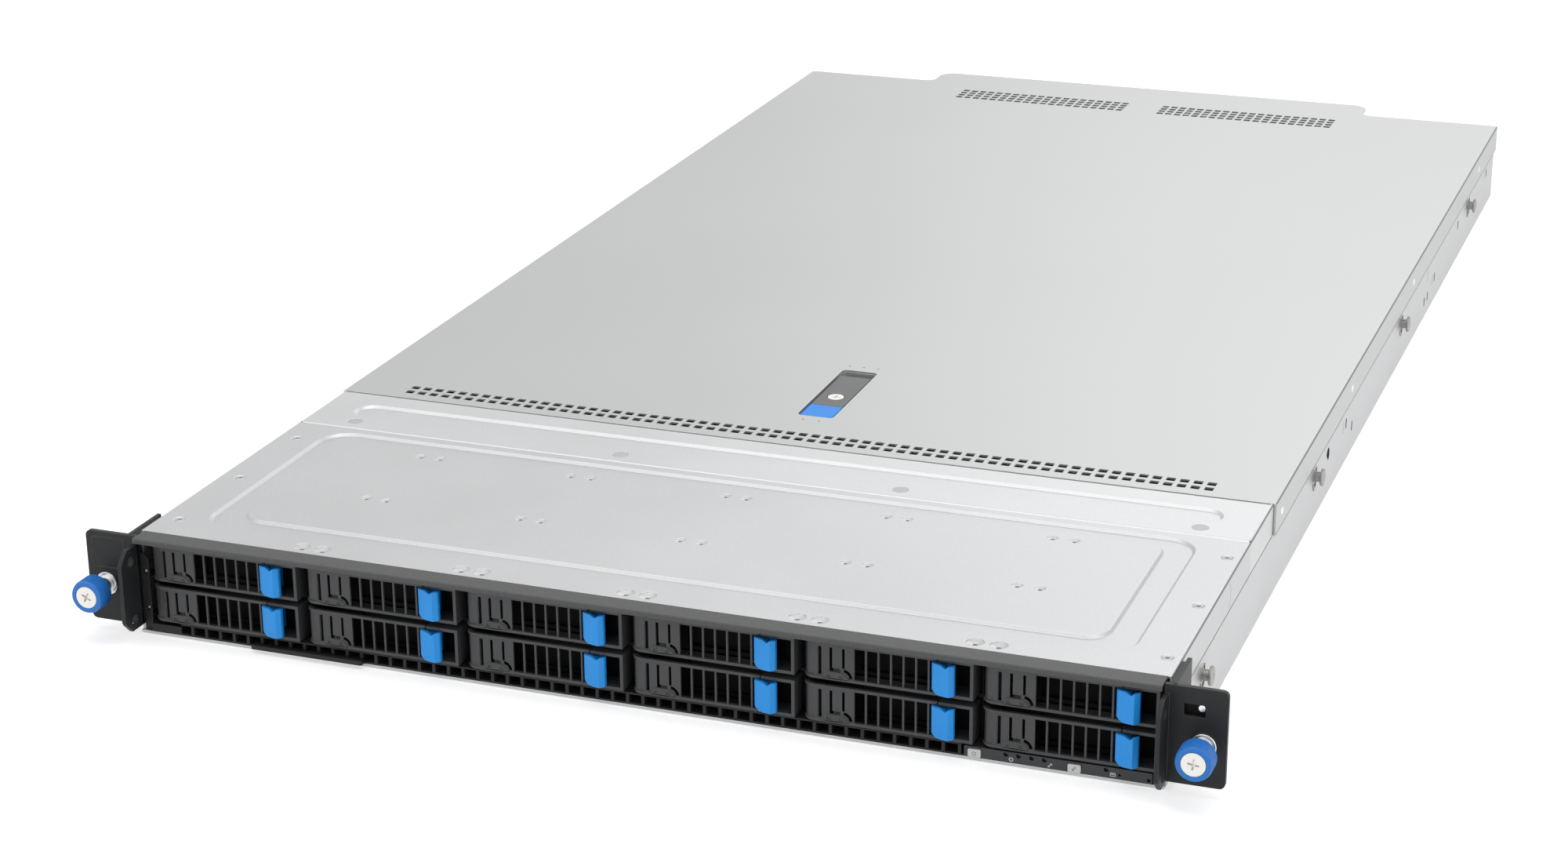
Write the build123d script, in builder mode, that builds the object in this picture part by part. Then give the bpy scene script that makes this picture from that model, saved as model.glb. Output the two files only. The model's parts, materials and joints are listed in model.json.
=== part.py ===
from build123d import *
import math
import os

os.makedirs("parts", exist_ok=True)

# 1U rack server with two rows of six small drive bays, lengths in millimetres.
# +X is to the right seen from the front, +Y goes to the rear, +Z is up.
# Depths are counted back from the front face of the rack ears.

# Overall sizes; the ears' reach makes them 482.6 mm wide, their screws 465.1 mm apart
unit_height = 44.0         # underside to top cover
wall_span = 437.2          # across the side walls
ear_reach = 22.7           # ears' outer edge outside the side walls
screw_reach = 13.95        # captive screws outside the side walls
body_depth = 840.2         # ears' front face to the rear wall
tongue_reach = 23.0        # lid's tongue behind the rear wall
knob_reach = 17.0          # captive screws in front of the ears

# Sheet thicknesses and running gaps
pan_gauge = 1.2
cover_gauge = 1.0
cage_gauge = 0.45
slide_gap = 0.1            # between sheets that slide on each other
skirt_gap = 0.15           # between the lid's skirts and the side walls
seam_gap = 0.4             # between two covers
seat_gap = 0.3             # under a piece that rests loosely
pin_gap = 0.06             # round a pin or shaft, on the radius
fold_round = 0.9           # a folded edge's outer radius over the sheet's thickness

# Cover lengths
rail_back = 6.0            # front rail meets the first cover
bay_cover_back = 143.3
bridge_back = 188.0
skirt_bottom = 29.5
wall_flange = 9.0          # side walls' flanges turned in under the lid

# Drive bays
bay_columns = 6
bay_rows = 2
bay_pitch = 71.8
bay_margin = 0.25          # between the last divider's middle and the right wall
row_base = 6.8             # underside of the lower bezels
row_pitch = 18.1
bezel_width = 68.8
bezel_height = 15.7
drive_width = 69.85
drive_length = 100.45
drive_height = 15.0

# Carrier and its bezel
border = 1.35              # bezel's upper and lower border
frame_width = 13.9         # fixed right end of the bezel, round the latch
frame_wall = 1.4
pocket_depth = 9.0
plate_gauge = 1.5
rail_wall = 0.5
rail_height = 14.5
carrier_length = 119.0
drive_side_gap = 0.05
air_hole_margin = 2.0
air_hole_right = 3.0

# Lever across the bezel
lever_gap = 0.4            # between the lever's tip and the fixed frame
lever_sheet_front = 0.5
lever_sheet_back = 1.6
lever_curl = 65.0          # degrees that the left end curls round the pin
lever_curl_radius = 5.5
hinge_pin_radius = 1.2
knuckle_radius = 2.3
knuckle_sides = 12         # repeated twelve times, so it stays plain
hinge_ear = 1.2
grille_left = 21.2         # in from the bezel's left end
grille_windows = 6
rib_pitch = 5.02
rib_width = 0.8
groove_widths = (1.6, 1.2, 1.1)
groove_lefts = (6.3, 11.1, 16.2)
groove_top = 2.1
groove_feet = (1.6, 5.3, 5.3)
lamp_boss_left = 8.2
lamp_boss_width = 11.5
lamp_boss_slope = 2.4
lamp_boss_height = 3.6
knuckle_neck = 0.6         # its width over the knuckle's
cut_length = 5.0           # of a cut from before the bezel's face

# Latch in the pocket
latch_left = 15.9          # its left edge, in from the bezel's right edge
latch_crease = 9.0
latch_right = 6.8
latch_reach = 3.4          # crease in front of the bezel
latch_side_reach = 0.8
latch_gap = 0.15
latch_foot_width = 1.8
latch_foot_height = 1.6
latch_foot_right = 1.0
latch_shoulder = 0.9
latch_notch_left = 3.4
latch_notch_right = 1.2
latch_notch_depth = 1.1

# Drive cage
cage_front = 8.4
cage_back = 118.0
cage_floor = 0.8
cage_floor_gap = 0.3
shelf_gauge = 1.7
cage_top_gauge = 0.8
cage_leg_front = 62.0
post_width = 3.1
post_reach = 4.0
post_back = 6.0

# Front bezel strips
rail_front = 3.6
rail_drop = 2.1
rail_lip = 1.2
rail_round = 0.6
strip_front = 0.8
strip_back = 8.0
strip_top = 6.4
tooth_width = 1.4
tooth_count = 52
strip_bar = 0.7
slab_inset = 5.2           # the blank slab starts this far inside the side wall
slab_width = 13.9
slab_top = 4.9
tooth_lead = 4.6           # from the slab to the first tooth

# Control panel
panel_width = 73.3
panel_inset = 5.0
panel_lead = 1.127         # from the last tooth to the panel
panel_top = 5.7
panel_back = 13.5
button_width = 5.1
button_height = 3.3
button_lefts = (4.15, 43.35)
button_depth = 6.0
button_flange = 0.8
button_travel = 0.8
button_gap = 0.15
button_proud = 0.6
button_corner = 0.5

# Pull-out tag
tag_width = 50.8
tag_inset = 78.7           # its middle inside the left side wall
tag_gauge = 1.1
tag_length = 56.0
tag_corner = 2.0
tag_lip = 2.4
tag_lip_back = 0.4
tag_lip_corner = 0.9
tag_lip_gauge = 1.87

# Rack ears
ear_gauge = 2.0
ear_bottom = 3.95
ear_top = 43.6
ear_lap = 1.4              # ears' face inside the side walls
ear_corner = 2.0
wing_gap = 1.3
wing_gauge = 1.8
wing_back = 25.0
wing_pad_front = 2.5
wing_pad_back = 22.0
wing_pad_gap = 0.05
grip_gauge = 1.8
grip_reach = 12.8
grip_top = 40.2
grip_slope = 5.0
ear_window_width = 8.2
ear_window_rise = 4.9
ear_window_reach = 10.1    # its middle outside the side walls
ear_window_height = 34.45
grip_hole_radius = 2.15
grip_hole_heights = (8.2, 34.3)
grip_hole_reach = 5.7

# Captive screws
screw_height = 20.8
knob_radius = 7.2
knob_length = 8.8
knob_groove = 0.3          # round the screw's head
knob_chamfer = 0.8
screw_head_radius = 4.75
shank_radius = 2.0         # relieved, so that the thread keeps it in its sleeve
thread_radius = 2.5
thread_start = 0.5         # behind the ear
thread_length = 5.5
sleeve_radius = 3.5
sleeve_flange = 5.05
sleeve_flange_gauge = 1.2
sleeve_gap = 0.2

# Rail studs on the side walls
stud_fronts = (58.3, 282.0, 511.6)
last_stud = 100.4          # in front of the rear wall
stud_height = 22.0
stud_neck = 2.3
stud_neck_length = 3.0
stud_head = 4.0
stud_head_length = 1.4
stud_sides = 16

# Pressed forms in the covers
press_depth = 1.1
press_slope = 45
ring_margin = 19.0         # from the side walls
ring_width = 13.6
ring_front = 19.3
ring_front_width = 12.9
ring_back_margin = 4.7     # from the bay cover's rear edge
ring_back_width = 8.6
ring_outer_corner = 14.0
ring_inner_corner = 9.0
bead_margin = 16.6
bead_front_margin = 13.8   # from the bridge's front edge
bead_width = 17.5
bead_corner = 8.7

# Lid vents and tongue
vent_size = 4.0
front_vent_pitch = 6.0
front_vent_count = 64
front_vent_rows = 2
front_vent_first = 196.3
rear_vent_pitch = 5.43
rear_vent_count = 20
rear_vent_rows = 4
rear_vent_lead = 34.0      # in front of the rear wall
rear_vent_centres = (-58.0, 70.9)
tongue_width = 274.6
tongue_corner = 9.0
tongue_root = 6.0
tongue_lap = 1.0

# Lid latch
recess_half = 8.6
recess_front = 226.0
recess_back = 291.5
recess_corner = 2.5
recess_floor = 36.0
latch_lever_half = 7.7
latch_lever_front = 227.2
latch_lever_heel = 284.2
latch_lever_top = 43.5
latch_lever_under = 40.2
latch_pivot_depth = 280.0
latch_pivot_height = 40.2
latch_hub_radius = 2.8
lock_depth = 255.5
lock_head_radius = 3.85
lock_head_gauge = 1.4
lock_shank_radius = 2.0
lock_slot = 1.0
lock_slot_length = 5.7
lock_tip = 38.4

# Inside the body
backplane_front = 128.0
backplane_gauge = 2.4
air_window_left = 6.0
air_window_width = 20.0
air_window_height = 11.0
air_window_lift = 2.0
plug_left = -28.0
plug_right = 4.0
plug_lift = 4.0
plug_height = 6.5
plug_gap = 0.5
board_gauge = 1.6
fan_size = 40.0
fan_length = 56.0
fan_front = 164.0
fan_count = 8
fan_pitch = 50.0
fan_bore = 18.5
fan_hub = 8.5
fan_blades = 5
fan_blade = 1.2
fan_blade_length = 9.0
fan_rotor_front = 6.0
fan_rotor_length = 24.0
fan_strut = 2.0
fan_strut_depth = 3.0
fan_overlap = 0.5
fan_bore_sides = 20        # the eight fans keep their round forms plain
fan_hub_sides = 10
board_lift = 5.2
standoff_radius = 3.0
standoff_inset = 15.0
standoff_fronts = (24.0, 284.0)
standoff_tail_inset = 18.0
standoff_tail = 36.0
board_inset = 13.6         # from the side walls
board_front = 236.0
board_waist_lead = 195.2   # in front of the rear wall
board_tail_half = 138.0
board_back_lead = 4.2
processor_centres = (-95.0, 95.0)
processor_depth = 392.0
socket_size = 76.0
socket_height = 5.0
sink_width = 92.0
sink_length = 118.0
sink_base = 4.0
sink_top = 38.0
fin_count = 21
fin_gauge = 0.8
memory_length = 133.35
memory_height = 30.0
memory_gauge = 6.0
memory_pitch = 8.2
memory_per_bank = 4
memory_gap = 8.0

# Rear end
psu_width = 73.5
psu_height = 40.0
psu_length = 185.0
psu_proud = 0.4
psu_wall_gap = 1.0
psu_bay_gap = 0.4
psu_chamfer = 0.8
inlet_width = 27.0
inlet_height = 19.0
inlet_depth = 16.0
inlet_offset = -19.0
inlet_pin = 2.0
inlet_pin_length = 9.0
inlet_pin_rise = 3.0
inlet_pin_spread = 7.0
grille_radius = 15.0
grille_hub = 6.0
grille_bar = 1.6
grille_depth = 2.0
handle_width = 34.0
handle_reach = 21.0
handle_bar = 4.0
handle_height = 8.0
handle_offset = 15.0
handle_root = 0.5
jack_centres = (-40.0, -22.0, 0.0)
jack_width = 16.0
jack_height = 13.5
jack_length = 21.0
jack_mouth_width = 11.8
jack_mouth_height = 8.6
jack_mouth_depth = 13.0
usb_centres = (20.0, 36.0)
usb_width = 13.2
usb_height = 15.6
usb_slot_height = 5.1
usb_slot_width = 11.6
usb_slot_depth = 9.0
usb_slot_lift = 1.2
usb_slot_step = 8.0
usb_tongue_lift = 2.0
usb_tongue = 1.6
video_centre = 62.0
video_width = 31.0
video_height = 12.5
port_gap = 0.2
port_proud = 0.6
slot_cover_centres = (-70.0, 70.0)
slot_cover_width = 118.0
slot_cover_height = 15.0
slot_cover_base = 25.0
slot_cover_lap = 1.5
slot_count = 10
slot_width = 2.6
slot_margin = 2.0
module_cover_centre = -94.0
module_cover_width = 72.0
module_cover_height = 13.0
module_cover_base = 6.0
rear_slot_count = 9
rear_slot_pitch = 5.0
rear_slot_first = 88.0
rear_slot_width = 2.6

# Worked out from the sizes above
ear_y = (knob_reach - body_depth - tongue_reach) / 2
wall_half = wall_span / 2
lid_half = wall_half + skirt_gap + cover_gauge
cover_under = unit_height - cover_gauge
wall_top = cover_under - slide_gap
lid_front = bridge_back + seam_gap
low_wall_top = skirt_bottom - seat_gap
press_spread = cover_gauge * math.tan(math.radians(press_slope / 2))
bridge_front = bay_cover_back + seam_gap
ring_outer_half = wall_half - ring_margin
ring_inner_half = ring_outer_half - ring_width
ring_outer_span = (ring_front, bay_cover_back - ring_back_margin)
ring_inner_span = (ring_front + ring_front_width, bay_cover_back - ring_back_margin - ring_back_width)
bead_half = wall_half - bead_margin
bead_span = (bridge_front + bead_front_margin, bridge_front + bead_front_margin + bead_width)
bezel_right = bezel_width / 2
bezel_left = -bezel_right
carrier_half = drive_width / 2 + drive_side_gap + rail_wall
frame_left = bezel_right - frame_width
hinge_x = bezel_left + lever_curl_radius * math.sin(math.radians(lever_curl)) + 0.2
hinge_y = lever_curl_radius
plate_front = pocket_depth
lever_tip = frame_left - lever_gap
cage_under = row_base - cage_floor_gap
shelf_top = row_base + row_pitch - cage_floor_gap
cage_top = cover_under - press_depth - slide_gap * 2
screw_x = wall_half + screw_reach
ear_outer = wall_half + ear_reach
ear_inner = wall_half - ear_lap
wing_inner = wall_half + wing_gap
ear_window_centre = (wall_half + ear_window_reach, ear_window_height)
panel_right = wall_half - panel_inset
panel_left = panel_right - panel_width
button_centres = [panel_left + left for left in button_lefts]
slab_left = slab_inset - wall_half
tag_centre = tag_inset - wall_half
slab_right = slab_left + slab_width
first_tooth = slab_right + tooth_lead
tooth_pitch = (panel_left - panel_lead - tooth_width - first_tooth) / (tooth_count - 1)
psu_x = wall_half - pan_gauge - psu_wall_gap - psu_width / 2
psu_base = pan_gauge + seat_gap
psu_back = body_depth + psu_proud
board_base = pan_gauge + board_lift
board_top = board_base + board_gauge
board_half = wall_half - board_inset
board_waist = body_depth - board_waist_lead
board_back = body_depth - board_back_lead
stud_depths = (*stud_fronts, body_depth - last_stud)
rear_vent_first = body_depth - rear_vent_lead
standoff_x = board_half - standoff_inset
tail_standoff_x = board_tail_half - standoff_tail_inset
standoffs = [(side * standoff_x, board_front + depth) for side in (-1, 1) for depth in standoff_fronts]
standoffs += [(0, board_front + standoff_fronts[-1])]
standoffs += [(side * tail_standoff_x, board_back - standoff_tail) for side in (-1, 1)]
bay_offset = wall_half - pan_gauge - bay_margin - bay_columns / 2 * bay_pitch
bay_centres = [bay_offset + (column - (bay_columns - 1) / 2) * bay_pitch for column in range(bay_columns)]
divider_xs = [bay_offset + (line - bay_columns / 2) * bay_pitch for line in range(bay_columns + 1)]


# Level plane at a height: x across, y back from the ears
def plan(height):
    return Plane(origin=(0, ear_y, height))


# Upright plane across the body at a depth, looking to the rear: x across, y up
def face(depth):
    return Plane(origin=(0, ear_y + depth, 0), x_dir=(1, 0, 0), z_dir=(0, -1, 0))


# Upright plane along the body: x back from the ears, y up
def profile(across):
    return Plane(origin=(across, ear_y, 0), x_dir=(0, 1, 0), z_dir=(1, 0, 0))


# Rectangle between two corners of the open sketch
def span(left, right, low, high, mode=Mode.ADD):
    with Locations(((left + right) / 2, (low + high) / 2)):
        Rectangle(right - left, high - low, mode=mode)


# Rectangle with round corners between two corners of the open sketch
def round_span(left, right, low, high, corner, mode=Mode.ADD):
    with Locations(((left + right) / 2, (low + high) / 2)):
        RectangleRounded(right - left, high - low, corner, mode=mode)


# Band of the pressed ring, wider by spread on both sides
def ring_band(spread):
    half = ring_outer_half + spread
    low, high = ring_outer_span
    round_span(-half, half, low - spread, high + spread, ring_outer_corner + spread)
    half = ring_inner_half - spread
    low, high = ring_inner_span
    round_span(-half, half, low + spread, high - spread, ring_inner_corner - spread, mode=Mode.SUBTRACT)


# Outline of the pressed bead, wider by spread all round
def bead_outline(spread):
    half = bead_half + spread
    low, high = bead_span
    round_span(-half, half, low - spread, high + spread, bead_corner + spread)


# Chassis pan: folded floor and side walls, low beside the drives and full height behind them
with BuildPart() as chassis_pan:
    with BuildSketch(face(strip_front)):
        span(-wall_half, wall_half, 0, pan_gauge)
    extrude(amount=-(body_depth - strip_front))
    with BuildSketch(face(ear_gauge + seat_gap)):
        span(-wall_half, wall_half, 0, low_wall_top)
        span(-wall_half + pan_gauge, wall_half - pan_gauge, 0, low_wall_top, mode=Mode.SUBTRACT)
    extrude(amount=-(body_depth - ear_gauge - seat_gap))
    flange_half = wall_half - pan_gauge - wall_flange
    with BuildSketch(face(bridge_back + slide_gap)):
        span(-wall_half, wall_half, 0, wall_top)
        span(-wall_half + pan_gauge, wall_half - pan_gauge, 0, wall_top - pan_gauge, mode=Mode.SUBTRACT)
        span(-flange_half, flange_half, pan_gauge, wall_top, mode=Mode.SUBTRACT)
    extrude(amount=-(body_depth - bridge_back - slide_gap))
    rear_wall_front = body_depth - pan_gauge
    with BuildSketch(face(rear_wall_front)):
        span(-wall_half, wall_half, 0, wall_top)
        for side in (-1, 1):
            bay_half = psu_width / 2 + psu_bay_gap
            span(side * psu_x - bay_half, side * psu_x + bay_half, pan_gauge,
                 psu_base + psu_height + seat_gap / 2, mode=Mode.SUBTRACT)
        for centre in slot_cover_centres:
            half = slot_cover_width / 2
            span(centre - half, centre + half, slot_cover_base, slot_cover_base + slot_cover_height,
                 mode=Mode.SUBTRACT)
        half = module_cover_width / 2
        span(module_cover_centre - half, module_cover_centre + half, module_cover_base,
             module_cover_base + module_cover_height, mode=Mode.SUBTRACT)
        ports = [(x, jack_width, jack_height) for x in jack_centres]
        ports += [(x, usb_width, usb_height) for x in usb_centres]
        ports += [(video_centre, video_width, video_height)]
        for centre, width, height in ports:
            half = width / 2 + port_gap
            span(centre - half, centre + half, board_top - port_gap, board_top + height + port_gap,
                 mode=Mode.SUBTRACT)
        for index in range(rear_slot_count):
            left = rear_slot_first + index * rear_slot_pitch
            span(left, left + rear_slot_width, module_cover_base, module_cover_base + module_cover_height,
                 mode=Mode.SUBTRACT)
    extrude(amount=-pan_gauge)
    fillet(chassis_pan.edges().filter_by(Axis.Y).group_by(Axis.Z)[0], radius=pan_gauge * fold_round)
    # hexagonal standoffs under the system board
    with BuildSketch(plan(pan_gauge)):
        with Locations(*standoffs):
            RegularPolygon(radius=standoff_radius, side_count=6)
    extrude(amount=board_lift)

# Drive cage: floor, middle shelf and top sheet, tied by thin upright dividers
with BuildPart() as drive_cage:
    cage_left = -wall_half + pan_gauge + slide_gap / 2
    cage_right = divider_xs[-1] + cage_gauge / 2
    with BuildSketch(face(cage_front)):
        span(cage_left, cage_right, cage_under - cage_floor, cage_under)
        span(cage_left, cage_right, shelf_top - shelf_gauge, shelf_top)
        span(cage_left, cage_right, cage_top - cage_top_gauge, cage_top)
    extrude(amount=-(cage_back - cage_front))
    for x in divider_xs:
        with BuildSketch(profile(x - cage_gauge / 2)):
            span(cage_front, cage_back, cage_under - cage_floor, cage_top)
            span(cage_leg_front, cage_back, pan_gauge, cage_under)
        extrude(amount=cage_gauge)
    with BuildSketch(plan(cage_under - cage_floor)):
        span(cage_left, cage_left + cage_gauge, cage_front, cage_back)
        span(cage_left, cage_left + post_width, cage_front - post_reach, cage_front + post_back)
    extrude(until=Until.LAST)

# Front bezel: folded rail along the top edge, grille strip and blank slab along the bottom
with BuildPart() as front_bezel:
    rail_half = ear_inner - seat_gap
    with BuildSketch(profile(-rail_half)):
        span(-rail_front, rail_back, unit_height - rail_lip, unit_height)
        span(-rail_front, -rail_front + rail_lip, unit_height - rail_drop, unit_height)
    extrude(amount=2 * rail_half)
    fillet(front_bezel.edges().filter_by(Axis.X).group_by(Axis.Y)[0].sort_by(Axis.Z)[-1], radius=rail_round)
    strip_base = pan_gauge + slide_gap
    strip_right = first_tooth + (tooth_count - 1) * tooth_pitch + tooth_width
    with BuildSketch(face(strip_front)):
        span(slab_left, slab_right, strip_base, slab_top)
        span(slab_right, strip_right, strip_base, strip_top)
        opening = tooth_pitch - tooth_width
        for index in range(tooth_count):
            right = first_tooth + index * tooth_pitch
            span(right - opening, right, strip_base + strip_bar, strip_top - strip_bar, mode=Mode.SUBTRACT)
    extrude(amount=-(strip_back - strip_front))
    tag_room = tag_width / 2 + slide_gap
    with BuildSketch(face(0)):
        span(tag_centre - tag_room, tag_centre + tag_room, pan_gauge, pan_gauge + 2 * seat_gap + tag_gauge)
    extrude(amount=-strip_back, mode=Mode.SUBTRACT)

# Pull-out information tag under the lower bays
with BuildPart() as pull_tag:
    tag_half = tag_width / 2
    tag_base = pan_gauge + seat_gap
    with BuildSketch(plan(tag_base)):
        round_span(tag_centre - tag_half, tag_centre + tag_half, -tag_lip, tag_length - tag_lip,
                   tag_corner)
    extrude(amount=tag_gauge)
    with BuildSketch(plan(tag_base)):
        round_span(tag_centre - tag_half, tag_centre + tag_half, -tag_lip, -tag_lip_back, tag_lip_corner)
    extrude(amount=tag_lip_gauge)

# Control panel with two push buttons
button_base = pan_gauge + seat_gap
button_flange_front = strip_front + button_depth - 2 * button_flange
with BuildPart() as control_panel:
    with BuildSketch(face(strip_front)):
        span(panel_left, panel_right, strip_base, panel_top)
    extrude(amount=-(panel_back - strip_front))
    for x in button_centres:
        well_half = button_width / 2 + button_gap
        with BuildSketch(face(0)):
            span(x - well_half, x + well_half, 0, button_base + button_height + button_gap)
        extrude(amount=-panel_back + pan_gauge, mode=Mode.SUBTRACT)
        with BuildSketch(face(button_flange_front - slide_gap)):
            span(x - well_half - button_flange, x + well_half + button_flange, 0,
                 button_base + button_height + button_gap)
        extrude(amount=-(button_flange + 2 * button_travel), mode=Mode.SUBTRACT)

buttons = {}
for name, x in zip(("power_button", "locate_button"), button_centres):
    with BuildPart() as button:
        half = button_width / 2
        with BuildSketch(face(strip_front - button_proud)):
            round_span(x - half, x + half, button_base, button_base + button_height, button_corner)
        extrude(amount=-button_depth)
        with BuildSketch(face(button_flange_front)):
            span(x - half - button_flange, x + half + button_flange, button_base, button_base + button_height)
        extrude(amount=-button_flange)
    buttons[name] = button.part

# Cover over the drive bays, with a pressed ring round a raised field
with BuildPart() as drive_bay_cover:
    with BuildSketch(face(rail_back)):
        span(-wall_half, wall_half, skirt_bottom, unit_height)
        span(-wall_half + cover_gauge, wall_half - cover_gauge, 0, cover_under, mode=Mode.SUBTRACT)
    extrude(amount=-(bay_cover_back - rail_back))
    fillet(drive_bay_cover.edges().filter_by(Axis.Y).group_by(Axis.Z)[-1], radius=cover_gauge * fold_round)
    with BuildSketch(plan(cover_under)):
        ring_band(press_spread)
    extrude(amount=-press_depth, taper=press_slope)
    with BuildSketch(plan(unit_height)):
        ring_band(0)
    extrude(amount=-press_depth, taper=press_slope, mode=Mode.SUBTRACT)

# Bridge between the bay cover and the lid, with a pressed bead
with BuildPart() as bridge_cover:
    with BuildSketch(face(bridge_front)):
        span(-wall_half, wall_half, skirt_bottom, unit_height)
        span(-wall_half + cover_gauge, wall_half - cover_gauge, 0, cover_under, mode=Mode.SUBTRACT)
    extrude(amount=-(bridge_back - bridge_front))
    fillet(bridge_cover.edges().filter_by(Axis.Y).group_by(Axis.Z)[-1], radius=cover_gauge * fold_round)
    with BuildSketch(plan(cover_under)):
        bead_outline(press_spread)
    extrude(amount=-press_depth, taper=press_slope)
    with BuildSketch(plan(unit_height)):
        bead_outline(0)
    extrude(amount=-press_depth, taper=press_slope, mode=Mode.SUBTRACT)

# Sliding top lid with its vents, latch recess and rear tongue
with BuildPart() as top_lid:
    with BuildSketch(face(lid_front)):
        span(-lid_half, lid_half, skirt_bottom, unit_height)
        span(-lid_half + cover_gauge, lid_half - cover_gauge, 0, cover_under, mode=Mode.SUBTRACT)
    extrude(amount=-(body_depth - lid_front))
    fillet(top_lid.edges().filter_by(Axis.Y).group_by(Axis.Z)[-1], radius=cover_gauge * fold_round)
    tongue_half = tongue_width / 2
    with BuildSketch(plan(cover_under)) as tongue:
        span(-tongue_half, tongue_half, body_depth - tongue_corner, body_depth + tongue_reach)
        fillet(tongue.vertices().group_by(Axis.Y)[-1], radius=tongue_corner)
        for side in (-1, 1):
            root = side * tongue_half
            with BuildLine():
                foot = root + side * tongue_root
                Polyline((root, body_depth - tongue_lap), (foot, body_depth - tongue_lap), (foot, body_depth))
                RadiusArc((foot, body_depth), (root, body_depth + tongue_root), -side * tongue_root)
                Line((root, body_depth + tongue_root), (root, body_depth - tongue_lap))
            make_face()
    extrude(amount=cover_gauge)
    with BuildSketch(plan(cover_under)):
        front_rows_middle = front_vent_first + front_vent_pitch * (front_vent_rows - 1) / 2
        with Locations((0, front_rows_middle)):
            with GridLocations(front_vent_pitch, front_vent_pitch, front_vent_count, front_vent_rows):
                Rectangle(vent_size, vent_size)
        rear_rows_middle = rear_vent_first + rear_vent_pitch * (rear_vent_rows - 1) / 2
        for centre in rear_vent_centres:
            with Locations((centre, rear_rows_middle)):
                with GridLocations(rear_vent_pitch, rear_vent_pitch, rear_vent_count, rear_vent_rows):
                    Rectangle(vent_size, vent_size)
        round_span(-recess_half, recess_half, recess_front, recess_back, recess_corner)
    extrude(amount=cover_gauge, mode=Mode.SUBTRACT)

# Latch pan riveted under the lid, with the pin that the lever turns on
with BuildPart() as lid_latch_pan:
    wall = cover_gauge
    with BuildSketch(plan(recess_floor - wall)):
        round_span(-recess_half - wall, recess_half + wall, recess_front - wall, recess_back + wall,
                   recess_corner + wall)
    extrude(amount=cover_under - recess_floor + wall)
    with BuildSketch(plan(recess_floor)):
        round_span(-recess_half, recess_half, recess_front, recess_back, recess_corner)
    extrude(amount=cover_under - recess_floor, mode=Mode.SUBTRACT)
    with BuildSketch(profile(-recess_half - wall / 2)):
        with Locations((latch_pivot_depth, latch_pivot_height)):
            Circle(hinge_pin_radius)
    extrude(amount=2 * recess_half + wall)

# Lid latch lever, hinged at its rear end
with BuildPart() as lid_latch_lever:
    with BuildSketch(profile(-latch_lever_half)):
        span(latch_lever_front, latch_lever_heel, latch_lever_under, latch_lever_top)
        with Locations((latch_pivot_depth, latch_pivot_height)):
            Circle(latch_hub_radius)
            Circle(hinge_pin_radius + pin_gap, mode=Mode.SUBTRACT)
    extrude(amount=2 * latch_lever_half)
    lock_head_seat = latch_lever_top - lock_head_gauge - slide_gap
    with BuildSketch(plan(lock_head_seat)):
        with Locations((0, lock_depth)):
            Circle(lock_head_radius + seat_gap)
    extrude(amount=unit_height - lock_head_seat, mode=Mode.SUBTRACT)
    with BuildSketch(plan(recess_floor)):
        with Locations((0, lock_depth)):
            Circle(lock_shank_radius + pin_gap)
    extrude(amount=unit_height - recess_floor, mode=Mode.SUBTRACT)

# Quarter-turn lock screw in the lever
with BuildPart() as lid_lock_screw:
    with BuildSketch(plan(latch_lever_top - lock_head_gauge)):
        with Locations((0, lock_depth)):
            Circle(lock_head_radius)
    extrude(amount=lock_head_gauge)
    with BuildSketch(plan(lock_tip)):
        with Locations((0, lock_depth)):
            Circle(lock_shank_radius)
    extrude(amount=latch_lever_top - lock_head_gauge - lock_tip)
    with BuildSketch(plan(latch_lever_top)):
        with Locations((0, lock_depth)):
            Rectangle(lock_slot_length, lock_slot)
    extrude(amount=-lock_head_gauge / 2, mode=Mode.SUBTRACT)

# Rack ears: face plate, wing along the side wall and grip flange in front
ears = {}
for name, side in (("ear_left", -1), ("ear_right", 1)):
    with BuildPart() as ear:
        with BuildSketch(face(0)):
            across = sorted((side * ear_inner, side * ear_outer))
            span(across[0], across[1], ear_bottom, ear_top)
            with Locations((side * screw_x, screw_height)):
                Circle(sleeve_radius + pin_gap, mode=Mode.SUBTRACT)
            if side > 0:
                with Locations(ear_window_centre):
                    Rectangle(ear_window_width, ear_window_rise, mode=Mode.SUBTRACT)
        extrude(amount=-ear_gauge)
        outer_corners = ear.edges().filter_by(Axis.Y).group_by(Axis.X)[-1 if side > 0 else 0]
        fillet(outer_corners, radius=ear_corner)
        with BuildSketch(plan(ear_bottom)):
            wing = sorted((side * wing_inner, side * (wing_inner + wing_gauge)))
            span(wing[0], wing[1], ear_gauge / 2, wing_back)
            pad = sorted((side * (wall_half + wing_pad_gap), side * wing_inner))
            span(pad[0], pad[1], wing_pad_front, wing_pad_back)
        extrude(amount=unit_height - ear_bottom)
        with BuildSketch(profile(side * ear_inner)):
            with BuildLine():
                Polyline((ear_gauge / 2, ear_bottom), (-grip_reach + grip_slope, ear_bottom),
                         (-grip_reach, ear_bottom + grip_slope), (-grip_reach, grip_top - grip_slope),
                         (-grip_reach + grip_slope, grip_top), (ear_gauge / 2, grip_top), close=True)
            make_face()
            with Locations(*[(-grip_hole_reach, height) for height in grip_hole_heights]):
                Circle(grip_hole_radius, mode=Mode.SUBTRACT)
        extrude(amount=side * grip_gauge)
    ears[name] = ear.part

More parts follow.
